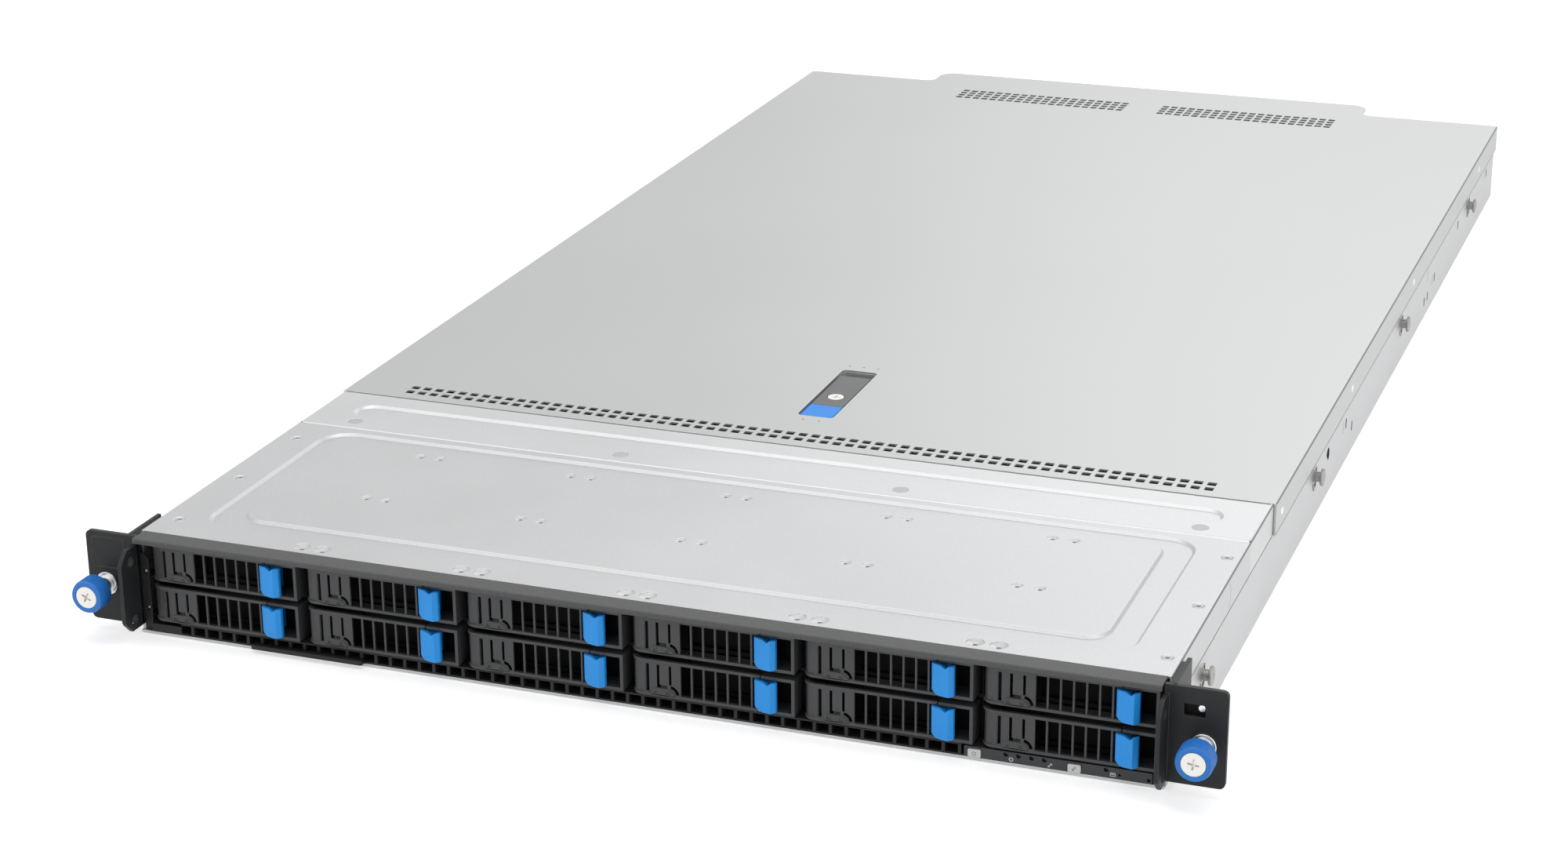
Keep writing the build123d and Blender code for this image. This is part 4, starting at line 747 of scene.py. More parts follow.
# drive trays, each drawn from the middle of its bay and the foot of its row
trays = {
    "centres": [firstBay + bayPitch * k for k in range(6)], "rows": (6.8, 24.9),
    "height": 15.7, "border": 1.35,
}
lever = {
    "hinge": (-29.215, 5.5), "curl": 65, "bends": 9, "tip": 20.1, "plateEnd": -13.2, "tuck": 0.4,
    "sheet": (0.5, 1.6), "borderBack": 1.9, "round": 0.14,
    "ribs": [-8.98 + 5.02 * k for k in range(6)], "ribWidth": 0.8,
    "grooves": [(-28.1, -26.5, 1.75, 13.6), (-18.2, -17.1, 5.3, 13.6)],
    "footSlot": [(-23.3, 3.7), (-18.9, 3.7), (-18.9, 5.15), (-22.15, 5.15), (-22.15, 13.6), (-23.3, 13.6)],
    "boss": [(-26.2, 0.7), (-25.3, 2.0), (-24.7, 3.0), (-24.0, 3.5), (-23.2, 3.62), (-19.2, 3.62),
             (-18.2, 3.45), (-17.3, 2.9), (-16.2, 1.9), (-15.3, 1.2), (-14.6, 0.7)],
    "lamps": [-23.5, -18.3], "lampHeight": 1.8, "lampRadius": 0.95,
    "lampGlass": [(1.0, 1.5), (0.75, 1.1), (0.4, 0.85), (0.0, 0.78), (0.0, 1.58), (1.0, 1.5)],
    "cornerSlot": {"x": -18.0, "y": 1.1, "outer": 4.15, "inner": 2.75, "start": 82, "end": 6, "steps": 8},
    "slotRibs": [-21.7, -21.0, -20.3, -19.6], "slotRib": (0.3, 3.4, 5.4), "slotRibSunk": 0.55,
    "tube": (1.26, 2.3, 1.65), "web": (1.3, 1.0, 3.7),
}


# wraps the lever's left end round its hinge
def bendLeft(u, depth, height):
    hx, hy = lever["hinge"]
    if u >= hx:
        return (u, depth, height)
    turn = (hx - u) / hy
    return (hx - (hy - depth) * math.sin(turn), hy - (hy - depth) * math.cos(turn), height)


def makeLeverShape():
    bm = bmesh.new()
    hx, hy = lever["hinge"]
    tall, border = trays["height"], trays["border"]
    front, back = lever["sheet"]
    reach = math.radians(lever["curl"]) * hy
    bends = [hx - reach * k / lever["bends"] for k in range(lever["bends"], 0, -1)]
    low, high = border - lever["tuck"], tall - border + lever["tuck"]
    ends = bends + [hx, lever["plateEnd"]]
    outline = [(u, low) for u in ends] + [(u, high) for u in reversed(ends)]
    holes = [rectLoop(*groove, corner=0.3, steps=3) for groove in lever["grooves"]]
    holes += [lever["footSlot"], arcBand(**lever["cornerSlot"])]
    addPrism(bm, [outline] + holes, front, back, lambda u, v, w: bendLeft(u, w, v), lever["round"])
    for left in lever["ribs"]:
        rib = rectLoop(left, left + lever["ribWidth"], low, high)
        addPrism(bm, [rib], front, back, onFace, lever["round"])
    wide, foot, head = lever["slotRib"]
    for left in lever["slotRibs"]:
        addPrism(bm, [rectLoop(left, left + wide, foot, head)], front + lever["slotRibSunk"], back, onFace)
    lamps = [ringLoop(u, lever["lampHeight"], lever["lampRadius"], 16) for u in lever["lamps"]]
    addPrism(bm, [lever["boss"]] + lamps, 0.0, back, onFace, lever["round"])
    half = border / 2
    section = rectLoop(0.0, lever["borderBack"], -half, half, 0.3, 2)
    for middle in (half, tall - half):
        stations = [lambda d, z, u=u, m=middle: bendLeft(u, d, m + z) for u in bends + [hx, lever["tip"]]]
        addSweep(bm, section, stations)
    bore, outer, base = lever["tube"]
    tube = [(bore, base), (outer, base), (outer, tall - base), (bore, tall - base), (bore, base)]
    addTurned(bm, tube, (hx, hy, 0), count=20)
    half, front, back = lever["web"]
    addPrism(bm, [rectLoop(hx - half, hx + half, base, tall - base)], front, back, onFace)
    bmesh.ops.recalc_face_normals(bm, faces=bm.faces)
    return bm


def makeLampShape():
    bm = bmesh.new()
    for u in lever["lamps"]:
        addTurned(bm, lever["lampGlass"], (u, 0, lever["lampHeight"]), "Y", 12)
    return bm


# latch columns: place across, lower and upper end, depth of the front
latch = {
    "columns": [(18.2, 3.3, 14.2, -0.9), (18.8, 2.75, 14.2, -1.5), (20.3, 1.5, 14.2, -2.0),
                (22.0, 1.5, 14.2, -2.6), (22.9, 1.5, 13.75, -2.9), (24.2, 1.5, 13.1, -3.16),
                (25.4, 1.5, 14.2, -3.4), (26.8, 1.5, 14.2, -2.2), (27.3, 1.6, 14.0, -1.6)],
    "plate": 1.7, "stem": (18.9, 23.6, 2.2, 13.0), "stemDepth": (-0.6, 8.7), "round": 0.13,
}


def makeLatchShape():
    bm = bmesh.new()
    rows = []
    for u, low, high, depth in latch["columns"]:
        back = depth + latch["plate"]
        corners = ((u, depth, low), (u, depth, high), (u, back, high), (u, back, low))
        rows.append([bm.verts.new(corner) for corner in corners])
    joinRings(bm, rows)
    for end in (rows[0], rows[-1]):
        bm.faces.new(end)
    bmesh.ops.recalc_face_normals(bm, faces=bm.faces)
    softenEdges(bm, bm.verts[:], latch["round"], 30)
    addPrism(bm, [rectLoop(*latch["stem"])], *latch["stemDepth"], onFace)
    return bm


# fixed right end of the bezel, a skin round the frame of the carrier
carrier = {
    "left": 20.5, "right": 34.42, "wall": 1.44, "rim": 1.38, "lap": 0.02, "front": -0.03, "depth": 8.9,
    "round": 0.16,
}


def makeCarrierShape():
    bm = bmesh.new()
    tall, rim = trays["height"], carrier["rim"]
    low, high = -carrier["lap"], tall + carrier["lap"]
    left, right, inner = carrier["left"], carrier["right"], carrier["right"] - carrier["wall"]
    outline = [(left, low), (right, low), (right, high), (left, high), (left, tall - rim),
               (inner, tall - rim), (inner, rim), (left, rim)]
    addPrism(bm, [outline], carrier["front"], carrier["depth"], onFace, carrier["round"])
    return bm


def makeTrays():
    pieces = [
        ("leverPlate", "lever_", makeLeverShape(), "tray_charcoal", "trayCharcoal", "tray_lever_"),
        ("leverLamps", "lever_", makeLampShape(), "tray_charcoal", "lampGlass", None),
        ("trayFrame", "tray_", makeCarrierShape(), "tray_charcoal", "trayCharcoal", None),
        ("latchThumb", "latch_", makeLatchShape(), "latch_blue", "latchBlue", "tray_latch_"),
    ]
    places = [(centre, 0, foot) for foot in trays["rows"] for centre in trays["centres"]]
    for number, place in enumerate(places, 1):
        tag = f"{number:02d}"
        for title, body, shape, slot, material, node in pieces:
            replaced = [node + tag] if node else ()
            finishPiece(shape.copy(), title + tag, body + tag, material, replaced, place)
    for piece in pieces:
        piece[2].free()


makeTrays()
print("trays are made")


# captive screws: ribbed knob, cross-slotted head, sleeve with its flange
knob = {
    "across": 232.55, "height": 20.8, "front": -17.0, "back": -8.2, "radius": 7.2, "core": 6.95,
    "bore": 2.1, "well": 4.82, "wellDepth": 2.4,
    "ribs": 50, "ribWide": 0.42, "ribFront": -15.9, "ribBack": -8.7,
    "head": 4.75, "headFront": -16.85, "headDepth": 1.3, "turned": {"left": 28, "right": 8},
    "shank": [(2.0, -14.6), (2.0, 2.5), (2.5, 2.6), (2.5, 7.5), (2.0, 8.0), (0.0, 8.0)],
    "sleeve": [(2.06, -7.9), (3.3, -7.9), (3.5, -7.7), (3.5, -1.35), (3.65, -1.2), (4.8, -1.2), (5.05, -0.95),
               (5.05, 0.0), (3.5, 0.0), (3.5, 2.0), (2.06, 2.0), (2.06, -7.9)],
}
cross = {"throat": 0.42, "wide": 0.375, "far": 2.1, "tip": 2.35}


def makeKnobShape():
    bm = bmesh.new()
    front, back, core = knob["front"], knob["back"], knob["core"]
    well, floor = knob["well"], front + knob["wellDepth"]
    rows = [(well, floor), (well, front + 0.25), (5.0, front), (6.25, front), (6.75, front + 0.25),
            (core, front + 0.8), (core, back - 0.5), (core - 0.5, back), (knob["bore"], back),
            (knob["bore"], floor), (well, floor)]
    addTurned(bm, rows, (0, 0, 0), "Y", 64)
    rib = bmesh.new()
    half, outer = knob["ribWide"] / 2, knob["radius"] - core
    addPrism(rib, [[(-0.2, -half), (outer, -half * 0.6), (outer, half * 0.6), (-0.2, half)]],
             knob["ribFront"], knob["ribBack"], onPlan, 0.06, 1)
    growInto(bm, ringTree, rib, "knobBlue", place=Matrix.Rotation(math.radians(-90), 4, "X"),
             Count=knob["ribs"], Radius=core)
    return bm


def crossLoop(x, y):
    throat, wide, far, tip = cross["throat"], cross["wide"], cross["far"], cross["tip"]
    loop = []
    for quarter in range(4):
        turn = math.radians(90 * quarter)
        c, s = math.cos(turn), math.sin(turn)
        loop += [(x + u * c - v * s, y + u * s + v * c)
                 for u, v in ((throat, throat), (wide, far), (0.0, tip), (-wide, far))]
    return loop[::-1]


def makeHeadShape():
    bm = bmesh.new()
    radius, front = knob["head"], knob["headFront"]
    floor = front + knob["headDepth"]
    addPrism(bm, [ringLoop(0, 0, radius, 40), crossLoop(0, 0)], front, floor, onFace, 0.12)
    under = radius - 0.02
    addTurned(bm, [(0.0, floor - 0.1), (under, floor - 0.1), (under, floor + 0.9), (2.0, floor + 0.9)],
              (0, 0, 0), "Y", 24)
    addTurned(bm, knob["shank"], (0, 0, 0), "Y", 32)
    return bm


def makeScrews():
    knobShape, headShape, sleeve = makeKnobShape(), makeHeadShape(), bmesh.new()
    addTurned(sleeve, knob["sleeve"], (0, 0, 0), "Y", 48)
    for side, name in ((-1, "left"), (1, "right")):
        place = (side * knob["across"], 0, knob["height"])
        title, body = name.capitalize(), "thumbscrew_" + name
        head = headShape.copy()
        head.transform(Matrix.Rotation(math.radians(knob["turned"][name]), 4, "Y"))
        finishPiece(knobShape.copy(), "screwKnob" + title, body, "knobBlue", [body], place)
        finishPiece(head, "screwHead" + title, body, "screwSteel", (), place)
        finishPiece(sleeve.copy(), "screwSleeve" + title, "root", "brightSteel", (), place)
    for shape in (knobShape, headShape, sleeve):
        shape.free()


# a turned shape standing out of both walls at several depths
def addPairs(bm, rows, across, depths, height, count):
    for side in (-1, 1):
        for depth in depths:
            addTurned(bm, [(r, side * a) for r, a in rows], (side * across, depth, height), "X", count)


studs = {
    "depths": (58.3, 282.0, 511.6, 739.8), "height": 22.0,
    "rows": [(2.9, 0.0), (2.9, 0.35), (2.3, 0.6), (2.3, 3.0), (3.7, 3.0), (4.0, 3.3), (4.0, 4.0), (3.6, 4.4),
             (1.6, 4.4), (1.3, 4.0), (0.0, 3.9)],
}


def makeStuds():
    bm = bmesh.new()
    addPairs(bm, studs["rows"], wallHalf, studs["depths"], studs["height"], 24)
    finishPiece(bm, "railStuds", "root", "studSteel", ["pressed_studs"])


makeScrews()
makeStuds()
print("screws and studs are made")


# side walls: hems under the skirts with painted shade, painted shade along the top folds, painted reflection
# arcs on the skirts, spring clips round the studs, painted-shade slots and pressed marks
sides = {
    "sheets": [("cover", "root", "galvanised_steel", wallHalf, coversFront, bridgeBack),
               ("lid", "lid", "lid_steel", lidHalf, 188.9, lidBack)],
    "hem": (skirtLow, skirtLow + 0.35), "proud": 0.03, "sunk": 0.2,
    "fold": 1.0, "foldProud": 0.02, "foldSunk": 0.15, "foldArc": (62, 12),
    "arcs": (99.5, 185.0), "arcHeight": 36.4, "arcBand": (7.0, 6.75, -52, 52, 8),
    "slots": [(359.2, 20.5), (375.5, 13.6), (588.4, 10.0), (598.9, 10.0), (620.9, 14.4), (701.8, 21.0),
              (811.4, 22.7)],
    "slot": (2.0, 5.0, 0.9, 4), "marks": [(352.6, 20.5), (596.5, 22.2), (614.0, 14.4), (804.8, 22.7)],
    "mark": (2.6, 6.0, 1.248, 5), "key": (314.0, 20.8, 3.4, -70, 170, 12),
    "dimples": [200.8, 364.0, 538.2, 766.9], "dimpleHeight": 36.5,
    "dimple": [(1.9, 0.0), (1.52, 0.35), (0.855, 0.4), (0.57, 0.1), (0.0, 0.05)],
    "clip": (7.0, 5.4, -150, 30, 9, 0.55), "clipGauge": 0.45, "clipSunk": 0.1,
}


# a thin plate on both walls
def addPatches(bm, loop, across=wallHalf, proud=sides["proud"], sunk=sides["sunk"]):
    for side in (-1, 1):
        low, high = sorted((side * (across - sunk), side * (across + proud)))
        addPrism(bm, [loop], low, high, onSide)


def makeHems():
    for title, body, slot, across, front, back in sides["sheets"]:
        bm = bmesh.new()
        addPatches(bm, rectLoop(front, back, *sides["hem"]), across)
        finishPiece(bm, title + "Hems", body, "seamShade")


# grey bands over the rounded top folds of covers and lid: painted shade along the folds
def makeFolds():
    radius = sides["fold"]
    outer, inner = radius + sides["foldProud"], radius - sides["foldSunk"]
    for title, body, slot, across, front, back in sides["sheets"]:
        bm = bmesh.new()
        band = arcBand(across - radius, unitTop - radius, outer, inner, *sides["foldArc"], 6)
        for side in (-1, 1):
            addPrism(bm, [[(side * x, z) for x, z in band]], front, back, onFace)
        finishPiece(bm, title + "Folds", body, "foldShade")


# faint dark arcs on the skirts of both walls: painted reflections
def makeSkirtArcReflections():
    bm = bmesh.new()
    for depth in sides["arcs"]:
        addPatches(bm, arcBand(depth, sides["arcHeight"], *sides["arcBand"]))
    finishPiece(bm, "skirtArcs", "root", "foldShade")


# the slots and the keyhole are near-black plates on the walls, painted shade where the openings are; the
# pressed marks are grey plates
def makeWallMarks():
    for name, spots, shape, material in (("wallSlots", sides["slots"], sides["slot"], "holeShade"),
                                         ("wallMarks", sides["marks"], sides["mark"], "markGrey")):
        bm = bmesh.new()
        for depth, height in spots:
            addPatches(bm, centredLoop(depth, height, *shape))
        if name == "wallSlots":
            addPatches(bm, arcPoints(*sides["key"]))
        finishPiece(bm, name, "root", material)


def makeDimples():
    bm = bmesh.new()
    addPairs(bm, sides["dimple"], lidHalf, sides["dimples"], sides["dimpleHeight"], 20)
    finishPiece(bm, "lidRivets", "lid", "brightSteel")


def makeClips():
    bm = bmesh.new()
    for depth in studs["depths"]:
        clip = arcBand(depth, studs["height"], *sides["clip"])
        addPatches(bm, clip, proud=sides["clipGauge"], sunk=sides["clipSunk"])
    finishPiece(bm, "studClips", "root", "studSteel")


makeHems()
makeFolds()
makeSkirtArcReflections()
makeWallMarks()
makeDimples()
makeClips()
print("side walls are dressed")


# rack ears: face plate, wing, grip flange, label panel on the left and window on the right
ear = {
    "inner": 217.2, "outer": 241.3, "bottom": 3.95, "top": 43.6, "corner": 2.4, "gauge": 2.0, "round": 0.55,
    "bore": 3.6, "window": (224.6, 232.8, 32.0, 36.9), "wing": (219.9, 221.7, 1.0, 25.0),
    "pad": (218.65, 219.95, 2.5, 22.0), "padTop": 43.4,
    "grip": (217.2, 219.0), "gripReach": 12.8, "gripTop": 40.2, "gripSlope": 5.0, "gripEase": 0.6,
    "holes": (8.2, 34.3), "holeReach": -5.7, "holeRadius": 2.15,
    "label": (223.2, 238.7, 27.6, 41.3), "labelRim": 0.35,
}


def makeEar(side, name):
    bm = bmesh.new()
    inner, outer, low, high, corner = (ear[key] for key in ("inner", "outer", "bottom", "top", "corner"))

    def faceOn(u, v, w):
        return (side * u, w, v)

    def planOn(u, v, w):
        return (side * u, v, w)

    def sideOn(u, v, w):
        return (side * w, u, v)

    # the lower corner's first point is there twice, which holds back the rounding of the plate's edges
    outline = [(inner, low), (outer - corner, low), *arcPoints(outer - corner, low + corner, corner, -90, 0, 6),
               *arcPoints(outer - corner, high - corner, corner, 0, 90, 6), (inner, high)]
    loops = [outline, ringLoop(knob["across"], knob["height"], ear["bore"], 32)]
    if side > 0:
        loops.append(rectLoop(*ear["window"], corner=0.25, steps=2))
    addPrism(bm, loops, 0.0, ear["gauge"], faceOn, ear["round"], 3)
    addPrism(bm, [rectLoop(*ear["wing"])], low, unitTop, planOn, 0.4)
    addPrism(bm, [rectLoop(*ear["pad"])], low, ear["padTop"], planOn)
    slope, ease, reach, top = ear["gripSlope"], ear["gripEase"], ear["gripReach"], ear["gripTop"]
    half = [(slope, 0.0), (ease, slope - ease), (0.0, slope + ease)]
    grip = [(1.0, low)] + [(u - reach, low + v) for u, v in half]
    grip += [(u - reach, top - v) for u, v in reversed(half)] + [(1.0, top)]
    holes = [ringLoop(ear["holeReach"], z, ear["holeRadius"], 28) for z in ear["holes"]]
    addPrism(bm, [grip] + holes, *ear["grip"], sideOn, ear["round"], 3)
    if side < 0:
        left, right, base, head = ear["label"]
        rim = ear["labelRim"]
        hole = rectLoop(left + rim, right - rim, base + rim, head - rim, 1.0)
        addPrism(bm, [rectLoop(left, right, base, head, 1.3), hole], -0.1, 0.1, faceOn, 0.06, 1)
    bmesh.ops.recalc_face_normals(bm, faces=bm.faces)
    finishPiece(bm, "ear" + name.capitalize(), "root", "blackCoat", ["ear_" + name])


# dark plate seen through the right ear's window, with the silver pin head in front of it
def makeWindowParts():
    left, right, low, high = ear["window"]
    plate = ear["gauge"] + 0.9
    bm = bmesh.new()
    addPrism(bm, [rectLoop(left - 1, right + 1, low - 1, high + 1)], plate, plate + 0.7, onFace)
    finishPiece(bm, "earWindowBack", "root", "blackSheet")
    bm = bmesh.new()
    pin = [(1.55, plate), (1.55, 0.9), (1.3, 0.6), (0.0, 0.5)]
    addTurned(bm, pin, (right - 1.5, 0, high - 1.5), "Y", 20)
    finishPiece(bm, "earWindowPin", "root", "brightSteel")


makeEar(-1, "left")
makeEar(1, "right")
makeWindowParts()
print("ears are made")


# front bezel: folded rail along the top, grille strip and blank slab along the bottom
bezel = {
    "half": 216.9, "railFront": -3.6, "railBack": 6.0, "lip": 1.2, "drop": 2.1, "round": 0.75,
    "stripDepth": (0.8, 8.0), "stripBase": 1.3, "stripTop": 6.4, "bar": 0.7, "slab": (-213.4, -199.5, 4.9),
    "tooth": 1.4, "pitch": 6.523, "first": -194.9, "count": 52, "tag": (-139.9, 25.5), "tagGap": 1.4,
    "toothFoot": 2.9, "footTop": 3.0, "sunk": 0.3,
}


def makeRail():
    bm = bmesh.new()
    front, back, lip, bend = bezel["railFront"], bezel["railBack"], bezel["lip"], bezel["round"]
    under, edge = unitTop - lip, unitTop - bezel["drop"]
    section = [(back, unitTop), (back, under), (front + lip, under), (front + lip, edge), (front, edge)]
    section += arcPoints(front + bend, unitTop - bend, bend, 180, 90, 4)
    addSweep(bm, section, [lambda a, b, x=x: (x, a, b) for x in (-bezel["half"], bezel["half"])])
    finishPiece(bm, "bezelRail", "root", "railBlack", ["front_bezel"])


def makeStrip():
    bm = bmesh.new()
    slabLeft, left, slabTop = bezel["slab"]
    right = bezel["first"] + (bezel["count"] - 1) * bezel["pitch"] + bezel["tooth"]
    base, top, bar, sunk = bezel["stripBase"], bezel["stripTop"], bezel["bar"], bezel["sunk"]
    centre, half = bezel["tag"]
    for loop, bevel in ((rectLoop(left, right, top - bar, top), 0.12),
                        (rectLoop(left, centre - half, base, base + bar), 0.12),
                        (rectLoop(centre + half, right, base, base + bar), 0.12),
                        (rectLoop(slabLeft, left, base, slabTop), 0.3)):
        addPrism(bm, [loop], *bezel["stripDepth"], onFace, bevel)
    teeth = [(bezel["first"] + k * bezel["pitch"], 0, 0) for k in range(bezel["count"])]
    gap = half + bezel["tagGap"]
    feet = [p for p in teeth if abs(p[0] + bezel["tooth"] / 2 - centre) > gap]
    for low, high, spots in ((bezel["toothFoot"], top - sunk, teeth), (base + sunk, bezel["footTop"], feet)):
        shape = bmesh.new()
        addPrism(shape, [rectLoop(0, bezel["tooth"], low, high)], *bezel["stripDepth"], onFace, 0.12, 1)
        growInto(bm, scatterTree, shape, "blackPlastic", spots)
    finishPiece(bm, "bezelStrip", "root", "blackPlastic")


makeRail()
makeStrip()
print("bezel is made")


# sliding lid: vents, latch recess, slits, folded skirts and rear tongue
lid = {
    "half": lidHalf, "front": 188.4, "back": lidBack, "gauge": 1.0, "fold": 1.0,
    "tongue": 137.3, "tongueEnd": 863.2, "tongueCorner": 9.0, "tongueRoot": 6.0, "vent": 4.0,
    "vents": [{"pitch": 6.0, "count": 64, "rows": 2, "first": 196.3, "centres": (0,)},
              {"pitch": 5.43, "count": 20, "rows": 4, "first": 806.2, "centres": (-58.0, 70.9)}],
    "recess": (-8.6, 8.6, 226.0, 291.5), "recessCorner": 2.5,
    "slits": [(-3.8, 221.0), (4.0, 221.0), (-7.25, 297.0), (-0.4, 297.0), (6.7, 297.0)], "slit": (1.5, 0.9),
}


def ventLoops(vents, size):
    loops = []
    for centre in vents["centres"]:
        for row in range(vents["rows"]):
            y = vents["first"] + row * vents["pitch"]
            for column in range(vents["count"]):
                x = centre + (column - (vents["count"] - 1) / 2) * vents["pitch"]
                loops.append(centredLoop(x, y, size, size, 0.35, 1))
    return loops


def lidOutline(size):
    flat, back, root = size["half"] - size["fold"], size["back"], size["tongueRoot"]
    half, end, corner = size["tongue"], size["tongueEnd"], size["tongueCorner"]
    right = [(flat, size["front"]), (flat, back)]
    right += arcPoints(half + root, back + root, root, -90, -180, 6)
    right += arcPoints(half - corner, end - corner, corner, 0, 90, 8)
    return right + [(-x, y) for x, y in reversed(right)]


def makeLid(size):
    bm = bmesh.new()
    holes = [loop for vents in size["vents"] for loop in ventLoops(vents, size["vent"])]
    holes.append(rectLoop(*size["recess"], corner=size["recessCorner"], steps=6))
    holes += [centredLoop(x, y, *size["slit"], 0.3, 1) for x, y in size["slits"]]
    addFlat(bm, [lidOutline(size)] + holes)
    addSkirts(bm, size)
    thicken(bm, size["gauge"])
    finishPiece(bm, "lidSheet", "lid", "lidSteel", ["top_lid"])


# latch lever in the lid with its blue tip, and the quarter-turn lock in it
lidLever = {
    "half": 7.7, "front": 227.2, "split": 243.0, "splitGap": 0.15, "heel": 284.2, "top": 43.5, "under": 40.2,
    "pivot": (280.0, 40.2), "hub": 2.8, "pin": 1.26, "round": 0.3, "tipCorner": 3.2, "tipCut": 0.8,
    "lock": 255.5, "well": 4.15, "lockHead": 3.8, "lockLevels": (42.6, 43.45),
    "lockRows": [(0.0, 42.7), (3.75, 42.7), (3.75, 42.1), (2.0, 42.1), (2.0, 38.4), (0.0, 38.4)],
}


def makeLidLever(size):
    half, front, split, corner, cut = [size[key] for key in ("half", "front", "split", "tipCorner", "tipCut")]
    under, top, seam = size["under"], size["top"], split - size["splitGap"]
    tip = [(-half, seam), (-half, front + cut), (-half + cut, front),
           *arcPoints(half - corner, front + corner, corner, -90, 0, 6), (half, seam)]
    bm = bmesh.new()
    addPrism(bm, [tip], under, top, onPlan, size["round"], 3)
    finishPiece(bm, "lidLeverTip", "lid_lever", "leverBlue", ["lid_latch_lever"])
    bm = bmesh.new()
    body = rectLoop(-half, half, split, size["heel"])
    addPrism(bm, [body, ringLoop(0, size["lock"], size["well"], 36)], under, top, onPlan, 0.25)
    tongue = rectLoop(-half + 0.2, half - 0.2, split - 1.0, split + 1.0)
    addPrism(bm, [tongue], under + 0.3, top - 0.6, onPlan)
    pin, hub = size["pin"], size["hub"]
    rows = [(pin, -half), (hub, -half), (hub, half), (pin, half), (pin, -half)]
    addTurned(bm, rows, (0, *size["pivot"]), "X", 24)
    bmesh.ops.recalc_face_normals(bm, faces=bm.faces)
    finishPiece(bm, "lidLeverBody", "lid_lever", "leverGrey", ["lid_latch_lever"])


def makeLidLock(size):
    bm = bmesh.new()
    lock = size["lock"]
    head = [ringLoop(0, lock, size["lockHead"], 36), crossLoop(0, lock)]
    addPrism(bm, head, *size["lockLevels"], onPlan, 0.12)
    addTurned(bm, size["lockRows"], (0, lock, 0), "Z", 32)
    finishPiece(bm, "lidLockScrew", "lid_lock", "screwSteel", ["lid_lock_screw"])


makeLid(lid)
makeLidLever(lidLever)
makeLidLock(lidLever)
print("lid is made")


# printed signs, drawn as strokes just in front of a face
def addPrint(bm, loop, depth):
    addPrism(bm, [loop], depth - 0.03, depth + 0.02, onFace)


def addStroke(bm, start, end, width, depth):
    (ax, az), (bx, bz) = start, end
    length = math.hypot(bx - ax, bz - az)
    px, pz = -(bz - az) / length * width / 2, (bx - ax) / length * width / 2
    addPrint(bm, [(ax + px, az + pz), (ax - px, az - pz), (bx - px, bz - pz), (bx + px, bz + pz)], depth)


def addArc(bm, x, z, radius, width, start, end, depth):
    addPrint(bm, arcBand(x, z, radius + width / 2, radius - width / 2, start, end, 16), depth)


def addPowerSign(bm, x, z, radius, depth):
    addArc(bm, x, z, radius, 0.26, 125, 415, depth)
    addStroke(bm, (x, z + 0.15), (x, z + radius + 0.25), 0.26, depth)


def addLocateSign(bm, x, z, size, depth):
    addStroke(bm, (x - size, z - size), (x + size * 0.2, z + size * 0.2), 0.3, depth)
    addArc(bm, x + size * 0.45, z + size * 0.45, size * 0.4, 0.24, -60, 220, depth)
    addStroke(bm, (x - size * 0.2, z - size), (x - size, z - size * 0.2), 0.24, depth)


def addLetterSign(bm, x, z, wide, high, depth):
    left, right, low, top = x - wide, x + wide, z - high, z + high
    corners = [(left, low), (right, low), (right, top), (left, top), (left, low)]
    flap = [(left, top), (x, z - high * 0.15), (right, top)]
    for path in (corners, flap):
        for a, b in zip(path, path[1:]):
            addStroke(bm, a, b, 0.24, depth)


# control panel: strip with lamp holes, pinhole and wells, two buttons
panel = {
    "left": 140.3, "right": 213.6, "base": 1.3, "top": 5.7, "front": 0.8, "skin": 1.8, "back": 13.5,
    "buttons": (("power_button", 144.45), ("locate_button", 183.65)), "well": 2.7, "wellTop": 4.95,
    "lamps": [156.8, 161.8, 166.9, 171.9, 195.9], "lampHeight": 4.45, "lampRadius": 0.95,
    "pinhole": (201.1, 3.0, 0.55), "socket": (211.6, 213.0, 2.0, 3.2), "signHeight": 2.75,
    "powerSign": 158.9, "locateSign": 174.2, "letterSign": 198.5,
    "cap": (5.1, 3.3, 0.5, 3), "capHeight": 3.15, "capDepth": (0.2, 6.2), "capSign": (3.1, 0.75),
}


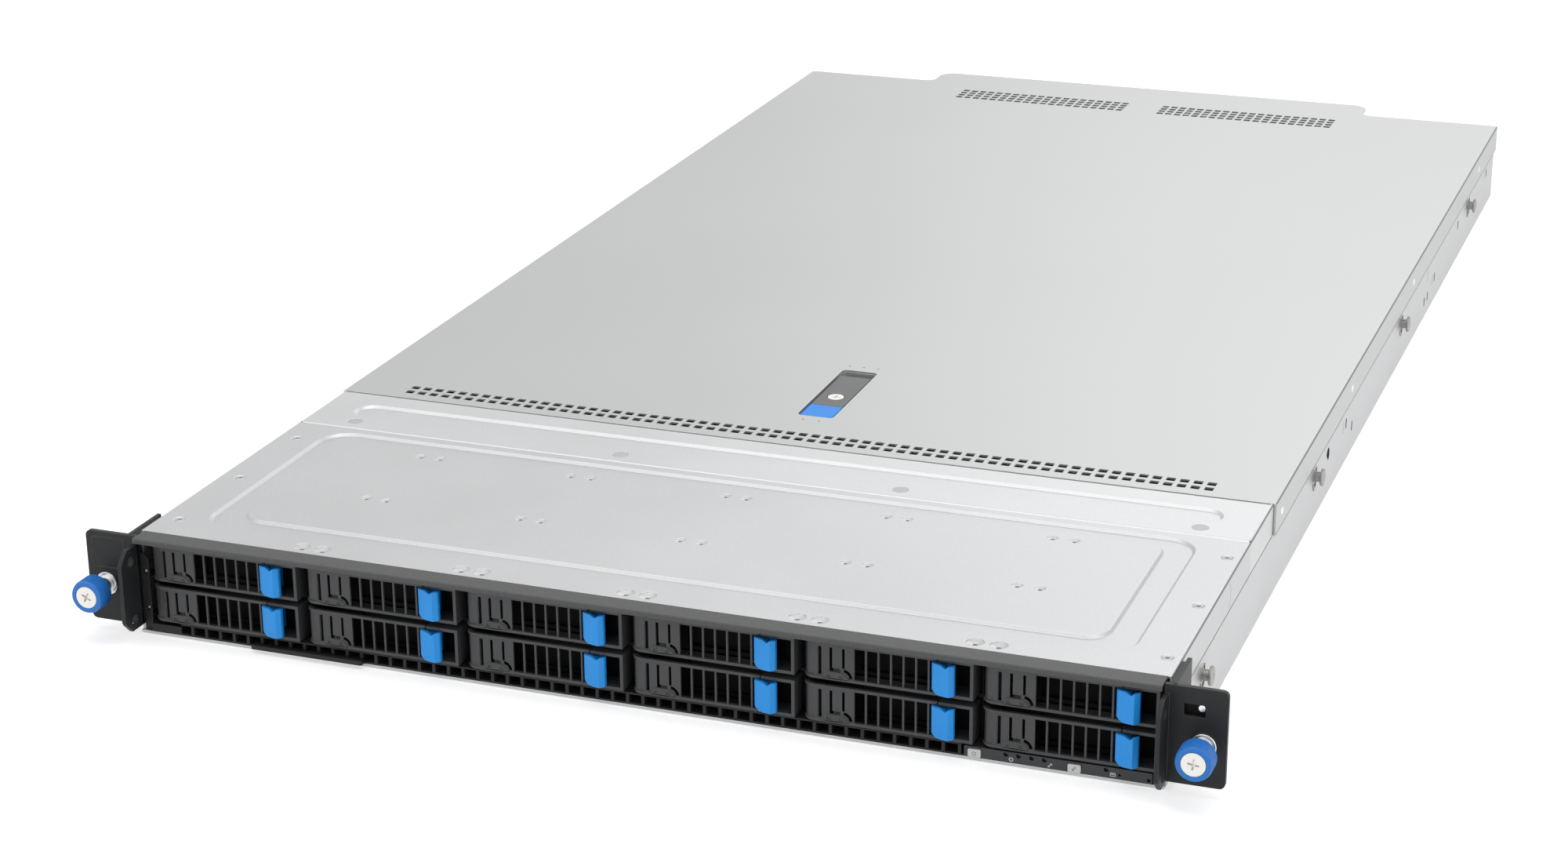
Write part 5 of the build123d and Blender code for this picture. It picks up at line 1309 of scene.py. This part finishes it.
def makePanel(size):
    base, top, front, well = size["base"], size["top"], size["front"], size["well"]
    outline = [(size["left"], base)]
    for _, x in size["buttons"]:
        left, right, roof = x - well, x + well, size["wellTop"]
        outline += [(left, base), (left, roof), (right, roof), (right, base)]
    outline += [(size["right"], base), (size["right"], top), (size["left"], top)]
    holes = [ringLoop(x, size["lampHeight"], size["lampRadius"], 16) for x in size["lamps"]]
    holes += [ringLoop(*size["pinhole"], 12), rectLoop(*size["socket"])]
    skin = front + size["skin"]
    bm = bmesh.new()
    addPrism(bm, [outline] + holes, front, skin, onFace, 0.12)
    addPrism(bm, [outline], skin - 0.1, size["back"], onFace)
    finishPiece(bm, "controlStrip", "root", "panelBlack", ["control_panel"])
    bm = bmesh.new()
    glass = [(0.9, front + 1.6), (0.75, front + 1.2), (0.0, front + 0.95)]
    for x in size["lamps"]:
        addTurned(bm, glass, (x, 0, size["lampHeight"]), "Y", 12)
    finishPiece(bm, "controlLamps", "root", "lampGlass")
    bm = bmesh.new()
    height = size["signHeight"]
    addPowerSign(bm, size["powerSign"], height, 0.75, front)
    addLocateSign(bm, size["locateSign"], height, 0.85, front)
    addLetterSign(bm, size["letterSign"], height + 0.1, 0.95, 0.65, front)
    finishPiece(bm, "controlSigns", "root", "printWhite")


def makeButtons(size):
    height, radius = size["capSign"]
    for (name, x), addSign in zip(size["buttons"], (addPowerSign, addLocateSign)):
        title = name.split("_")[0]
        bm = bmesh.new()
        addPrism(bm, [centredLoop(x, size["capHeight"], *size["cap"])], *size["capDepth"], onFace, 0.2, 3)
        finishPiece(bm, title + "Cap", name, "buttonWhite", [name])
        bm = bmesh.new()
        addSign(bm, x, height, radius, size["capDepth"][0])
        finishPiece(bm, title + "Sign", name, "printGrey")


makePanel(panel)
makeButtons(panel)
print("control panel is made")


# dark upright plate with two small screws beside the left trays
sidePlate = {
    "outline": [(-216.9, 2.0), (-213.3, 2.0), (-213.3, 33.0), (-215.2, 35.5), (-216.9, 35.5)],
    "depth": (1.6, 2.8), "screws": [(-215.2, 27.6), (-215.2, 11.2)], "bore": 1.15,
    "screw": [(1.0, 3.2), (0.95, 2.4), (0.6, 2.1), (0.0, 2.05)],
}


def makeSidePlate(size):
    bm = bmesh.new()
    bores = [ringLoop(x, z, size["bore"], 16) for x, z in size["screws"]]
    addPrism(bm, [size["outline"]] + bores, *size["depth"], onFace, 0.2)
    finishPiece(bm, "leftPlate", "root", "blackPlastic")
    bm = bmesh.new()
    for x, z in size["screws"]:
        addTurned(bm, size["screw"], (x, 0, z), "Y", 16)
    finishPiece(bm, "leftPlateScrews", "root", "brightSteel")


makeSidePlate(sidePlate)
print("side plate is made")
